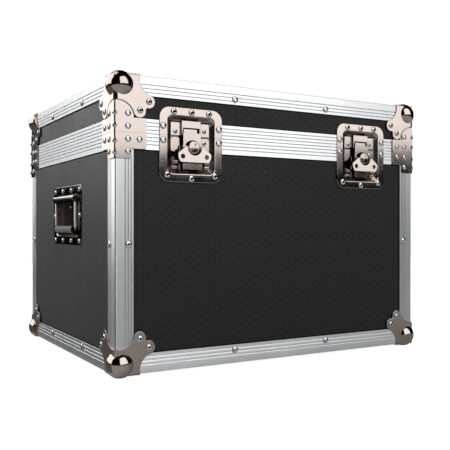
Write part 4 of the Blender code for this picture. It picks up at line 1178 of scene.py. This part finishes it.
        levels = (10.8 * MM, 12.6 * MM)
        patches = plate(wing_outline() + centre, *levels, leaning, 0.35 * MM, holes, back_edge=True)
        for end in (-1, 1):
            near, far = sorted((end * 10.5, end * 13.7))
            outline = softened(in_mm(rectangle((near, -2.8), (far, 1.9))) + centre, 0.5 * MM)
            patches += plate(outline, 6.9 * MM, 11.7 * MM, on_front, 0.2 * MM, back_edge=True)
        piece(f"latch_wing_{name}", patches, metal, f"wing_{name}", "polished_nickel", f"latch_wing_{name}")


# Handles: sizes in millimetres from the middle of the dish or of the pivot
HANDLE_BOX = ((-80, -52), (80, 52))
HANDLE_CUP = ((17, 16), (9, 6))
HANDLE_LEVELS = (-0.6 * MM, -15.6 * MM)
FLANGE_RIVETS = [(u, v) for v in (-44, 44) for u in (-69, -24, 24, 69)] + [(-71.5, 0), (71.5, 0)]
FLOOR_RIVETS = [(-26, 16), (0, 16), (26, 16)]
SPRING_TURNS, SPRING_PITCH = 6, 8 * MM
SPRING_RADIUS, SPRING_WIRE = 3.75 * MM, 0.6 * MM
BARREL_HALF, GRIP_HALF = 58.3, 52.8


class HandlesOperator(bpy.types.Operator):
    """Builds the two spring-loaded recessed handles"""

    bl_idname = "trunk.handles"
    bl_label = "Handles"

    def execute(self, context):
        for name, side in SIDES.items():
            pivot = np.array((side * (HALF_WIDTH + PIVOT_OUT), CENTRE_Y, PIVOT_HEIGHT))
            self.dish(name, on_left if side < 0 else on_right, pivot)
            self.spring(name, pivot)
            self.bail(name, pivot)
            self.grip(name, pivot - (0, 0, BAIL_LENGTH))
        return {"FINISHED"}

    def dish(self, name, place, pivot):
        face, floor = HANDLE_LEVELS
        middle = (0, HANDLE_HEIGHT)
        low, high = in_mm(HANDLE_BOX) + middle
        bends = (HANDLE_HEIGHT, HANDLE_HEIGHT)
        patches = pressed_dish(place, low, high, HANDLE_CUP, 2, HANDLE_LEVELS, bends, 0)
        for end in (-1, 1):
            near, far = sorted((end * 58.9, end * 60.6))
            ear = softened(in_mm(rectangle((near, -4.5), (far, 4.5))) + (0, PIVOT_HEIGHT), 0.3 * MM)
            patches += plate(ear, floor - 0.2 * MM, 5 * MM, place, 0.25 * MM, back_edge=True)
        patches += pin(pivot, ALONG_END, 60.2, 2.5, 0.3, 20)
        label = f"handle_dish_{name}"
        piece(label, patches, finishes(*DISH_FINISHES), "base", "polished_nickel", label)
        add_rivets("base", in_mm(FLANGE_RIVETS) + middle, face, place, 0.85, True)
        add_rivets("base", in_mm(FLOOR_RIVETS) + middle, floor, place, 0.65)

    def spring(self, name, pivot):
        """Helix: angle a, centre = (r*cos a, pitch*a/2pi, r*sin a)."""
        angle = np.linspace(0, 2 * math.pi * SPRING_TURNS, 24 * SPRING_TURNS + 1)
        along = SPRING_PITCH * (angle / (2 * math.pi) - SPRING_TURNS / 2)
        path = np.stack([SPRING_RADIUS * np.cos(angle), along, SPRING_RADIUS * np.sin(angle)], axis=1)
        patches = tube(path + pivot, SPRING_WIRE, ALONG_END, 8)
        label = f"handle_spring_{name}"
        piece(label, patches, finishes("spring_wire"), "base", "spring_steel", label)

    def bail(self, name, pivot):
        """A hollow barrel about the pivot, painted black as shade on its underside, and a bent bar that carries the
        grip.
        """
        half = BARREL_HALF
        wall = mirrored([(half - 0.5, 6.5), (half, 6.0), (half, 2.9), (half - 2, 2.9), (half - 2, 5.2)])
        patches = turned(wall, pivot, ALONG_END, 32, closed=True)
        reach, bend = 55.7 * MM, 4 * MM
        turn = arc((reach - bend, bend - BAIL_LENGTH), bend, 0, -90, 6)
        half = [(reach, -4.7 * MM), (reach, 12 * MM - BAIL_LENGTH), *turn]
        path = [(0, y, z) for y, z in half + [(-y, z) for y, z in reversed(half)]]
        patches += tube(np.array(path) + pivot, 2.6 * MM, SIDEWAYS, 20, 1)
        made = make_mesh(f"handle_bail_{name}", patches, finishes("nickel", "nickel_bail", "shadow_gap"))
        # Painted shade: the barrel's downward faces take the black finish
        for face in made.data.polygons:
            if face.material_index == 0 and face.normal.z < -0.05 and abs(face.normal.y) < 0.5:
                face.material_index = 2
        show(made, f"handle_{name}", "polished_nickel", f"handle_bail_{name}")

    def grip(self, name, centre):
        """A sleeve with a wider black disc at each end."""
        half = GRIP_HALF
        sleeve = mirrored([(half - 1, 6.2), (half - 0.3, 6.0), (half, 5.6), (half, 3.5)])
        patches = turned(sleeve, centre, ALONG_END, 40, closed=True)
        rim = [(-1.6, 3.5), (-1.6, 7), (-1.2, 7.3), (0, 7.3), (0.3, 7), (0.3, 3.5)]
        for end in (-1, 1):
            disc = [(end * (half + a), r) for a, r in rim]
            patches += turned(disc, centre, ALONG_END, 32, 1, True)
        label = f"handle_grip_{name}"
        piece(label, patches, finishes("rubber", "shadow_gap"), f"handle_{name}", "grey_rubber", label)


# Hinges
HINGE_LEVELS = (0.3 * MM, 2.3 * MM)
KNUCKLES = {"base": [(-30, -10.25), (10.25, 30)], "lid": [(-10, 10)]}


class HingesOperator(bpy.types.Operator):
    """Builds the two hinges at the back"""

    bl_idname = "trunk.hinges"
    bl_label = "Hinges"

    def execute(self, context):
        for name, side in SIDES.items():
            x = side * HINGE_X
            for body, sign in (("base", -1), ("lid", 1)):
                label = f"hinge_leaf_{body}_{name}"
                piece(label, self.leaf(x, body, sign), finishes("nickel"), body, "polished_nickel", label)
                places = in_mm([(u, sign * 14.5) for u in (-21, 0, 21)]) + (-x, JOINT)
                add_rivets(body, places, HINGE_LEVELS[1], on_back, 0.7)
        return {"FINISHED"}

    def leaf(self, x, body, sign):
        """A plate, its knuckles and their necks; the base's leaf also has the pin."""
        middle = (-x, JOINT)
        near, far = sorted((sign * 5.5, sign * 21.5))
        outline = softened(in_mm(rectangle((-30, near), (30, far))), 2 * MM, 4) + middle
        patches = plate(outline, *HINGE_LEVELS, on_back, 0.3 * MM, back_edge=True)
        low, high = sorted((0, sign * 6))
        for start, end in KNUCKLES[body]:
            centre = (x + (start + end) / 2 * MM, BACK + HINGE_OUT, JOINT)
            patches += pin(centre, SIDEWAYS, (end - start) / 2, 4.6, 0.35, 32)
            neck = in_mm(rectangle((-end, low), (-start, high))) + middle
            patches += plate(neck, *HINGE_LEVELS, on_back, 0.2 * MM, back_edge=True)
        if body == "base":
            patches += pin((x, BACK + HINGE_OUT, JOINT), SIDEWAYS, 29, 2, 0.2, 20)
        return patches


# Stage: sizes in metres and angles in degrees
FLOOR_HALF = 3.0
DOME_RADIUS = 16.0
FLOOR_SHADOW_GAP = 12 * MM
LAMP_DISTANCE = 8.0
# Each lamp: its level, azimuth, width, lowest and highest point, and roll
LAMPS = {
    "lamp_front": (2.05, 284.2, 10.3, 1.1, 13.9, 3.0),
    "lamp_left": (2.2, 143.8, 11.3, 1.05, 15.0, 0.0),
    "lamp_rear": (2.2, 95.0, 3.2, 2.3, 6.5, 0.0),
}
CAMERA_PLACE = (-0.6668, -1.1989, 0.2224)
CAMERA_YAW = 30


class StageOperator(bpy.types.Operator):
    """Sets the plain floor, the world, the lamps and the camera"""

    bl_idname = "trunk.stage"
    bl_label = "Stage"

    def execute(self, context):
        self.floor()
        self.flats()
        self.world(context.scene)
        self.lamps()
        self.camera(context.scene)
        return {"FINISHED"}

    def matte(self, name, level, roughness=1.0):
        material, tree, shader = new_material(name)
        colour = (level, level, level, 1)
        connect(tree, shader, {"Base Color": colour, "Roughness": roughness, "Specular IOR Level": 0.0})
        return material

    def floor(self):
        """A pale floor that the camera sees as white with a faint shadow."""
        material = self.matte("floor_pale", 0.66, 0.9)
        tree = material.node_tree
        path = tree.nodes.new("ShaderNodeLightPath")
        strength = calculate(tree, "MULTIPLY", path.outputs["Is Camera Ray"], 0.9)
        white = add_node(tree, "ShaderNodeEmission", {"Color": (1, 1, 1, 1), "Strength": strength})
        shaders = {0: tree.nodes["Principled BSDF"].outputs[0], 1: white.outputs[0]}
        both = add_node(tree, "ShaderNodeAddShader", shaders)
        connect(tree, tree.nodes["Material Output"], {0: both.outputs[0]})
        corners = [(x, y, 0) for x, y in rectangle((-FLOOR_HALF, -FLOOR_HALF), (FLOOR_HALF, FLOOR_HALF))]
        made = make_mesh("floor", [patch(corners, [(0, 1, 2, 3)], False)], [material])

    def flats(self):
        """Black flats in a dome, and a grey sheet left of the trunk painted as the floor's shadow, that only
        reflections show.
        """
        turn = np.radians(np.arange(0, 361, 10.0))
        rise = np.radians(np.arange(-10, 91, 10.0))
        across, up = np.meshgrid(turn, rise)
        points = np.stack([np.cos(across) * np.cos(up), np.sin(across) * np.cos(up), np.sin(up)], axis=-1)
        dome = patch(points * DOME_RADIUS, grid_faces(len(rise), len(turn)), False)
        # Painted shadow: a grey sheet on the floor left of the trunk, seen only in reflections
        outline = rectangle((-FLOOR_HALF, FRONT), (-HALF_WIDTH - FLOOR_SHADOW_GAP, FLOOR_HALF))
        floor_shadow = patch([(x, y, MM) for x, y in outline], [(0, 1, 2, 3)], False, 1)
        materials = [self.matte("flat_black", 0.004), self.matte("floor_shadow_grey", 0.21)]
        made = make_mesh("black_flats", [dome, floor_shadow], materials)
        for ray in ("camera", "diffuse", "transmission", "volume_scatter", "shadow"):
            setattr(made, "visible_" + ray, False)

    def world(self, scene):
        """White where the camera and reflections look, and a dim fill everywhere else."""
        world = bpy.data.worlds.new("studio")
        world.use_nodes = True
        tree = world.node_tree
        path = tree.nodes.new("ShaderNodeLightPath").outputs
        seen = calculate(tree, "ADD", path["Is Camera Ray"], path["Is Glossy Ray"])
        seen = calculate(tree, "ADD", seen, path["Is Transmission Ray"])
        strength = blend_values(tree, seen, 0.12, 1.0)
        connect(tree, tree.nodes["Background"], {"Strength": strength, "Color": (1, 1, 1, 1)})
        scene.world = world

    def lamps(self):
        """Tall soft lamps at the front right and the left, and a small rear one: power = level * pi * area."""
        for name, (level, azimuth, width, low, high, roll) in LAMPS.items():
            light = bpy.data.lights.new(name, "AREA")
            light.shape = "RECTANGLE"
            light.size = width
            light.size_y = high - low
            light.energy = level * math.pi * width * (high - low)
            made = linked(name, light)
            turn = math.radians(azimuth)
            made.location = (LAMP_DISTANCE * math.cos(turn), LAMP_DISTANCE * math.sin(turn), (low + high) / 2)
            made.rotation_euler = (math.pi / 2, -math.radians(roll), turn + math.pi / 2)

    def camera(self, scene):
        """The photo's camera: level, and turned about the upright axis."""
        camera = bpy.data.cameras.new("camera")
        camera.lens = 54.94
        camera.sensor_width = 36.0
        camera.shift_y = 0.0027
        made = linked("camera", camera)
        x, y, z = CAMERA_PLACE
        made.location = (x, y + CENTRE_Y, z + UNDERSIDE)
        made.rotation_euler = (math.pi / 2, 0, -math.radians(CAMERA_YAW))
        scene.camera = made
        scene.render.resolution_x = 450
        scene.render.resolution_y = 450
        scene.view_settings.view_transform = "Standard"


# Panel and registration
STEPS = (
    FinishesOperator,
    PanelsOperator,
    EdgingOperator,
    CornersOperator,
    LatchesOperator,
    HandlesOperator,
    HingesOperator,
    RivetsOperator,
    StageOperator,
)


class TrunkPanel(bpy.types.Panel):
    """Lists the trunk's sizes, colours and building steps"""

    bl_idname = "VIEW3D_PT_trunk"
    bl_label = "Transport trunk"
    bl_space_type = "VIEW_3D"
    bl_region_type = "UI"
    bl_category = "Trunk"

    def draw(self, context):
        column = self.layout.column()
        for group in (context.scene.trunk_sizes, context.scene.trunk_colours):
            for name in group.bl_rna.properties.keys():
                if name not in ("rna_type", "name"):
                    column.prop(group, name)
        for step in STEPS:
            column.operator(step.bl_idname)


CLASSES = (TrunkSizes, TrunkColours, *STEPS, TrunkPanel)


def register():
    for item in CLASSES:
        bpy.utils.register_class(item)
    bpy.types.Scene.trunk_sizes = bpy.props.PointerProperty(type=TrunkSizes)
    bpy.types.Scene.trunk_colours = bpy.props.PointerProperty(type=TrunkColours)


def unregister():
    del bpy.types.Scene.trunk_colours
    del bpy.types.Scene.trunk_sizes
    for item in reversed(CLASSES):
        bpy.utils.unregister_class(item)


def main():
    register()
    bpy.ops.trunk.finishes()
    bpy.ops.trunk.panels()
    bpy.ops.trunk.edging()
    bpy.ops.trunk.corners()
    bpy.ops.trunk.latches()
    bpy.ops.trunk.handles()
    bpy.ops.trunk.hinges()
    bpy.ops.trunk.rivets()
    bpy.ops.trunk.stage()


if __name__ == "__main__":
    main()
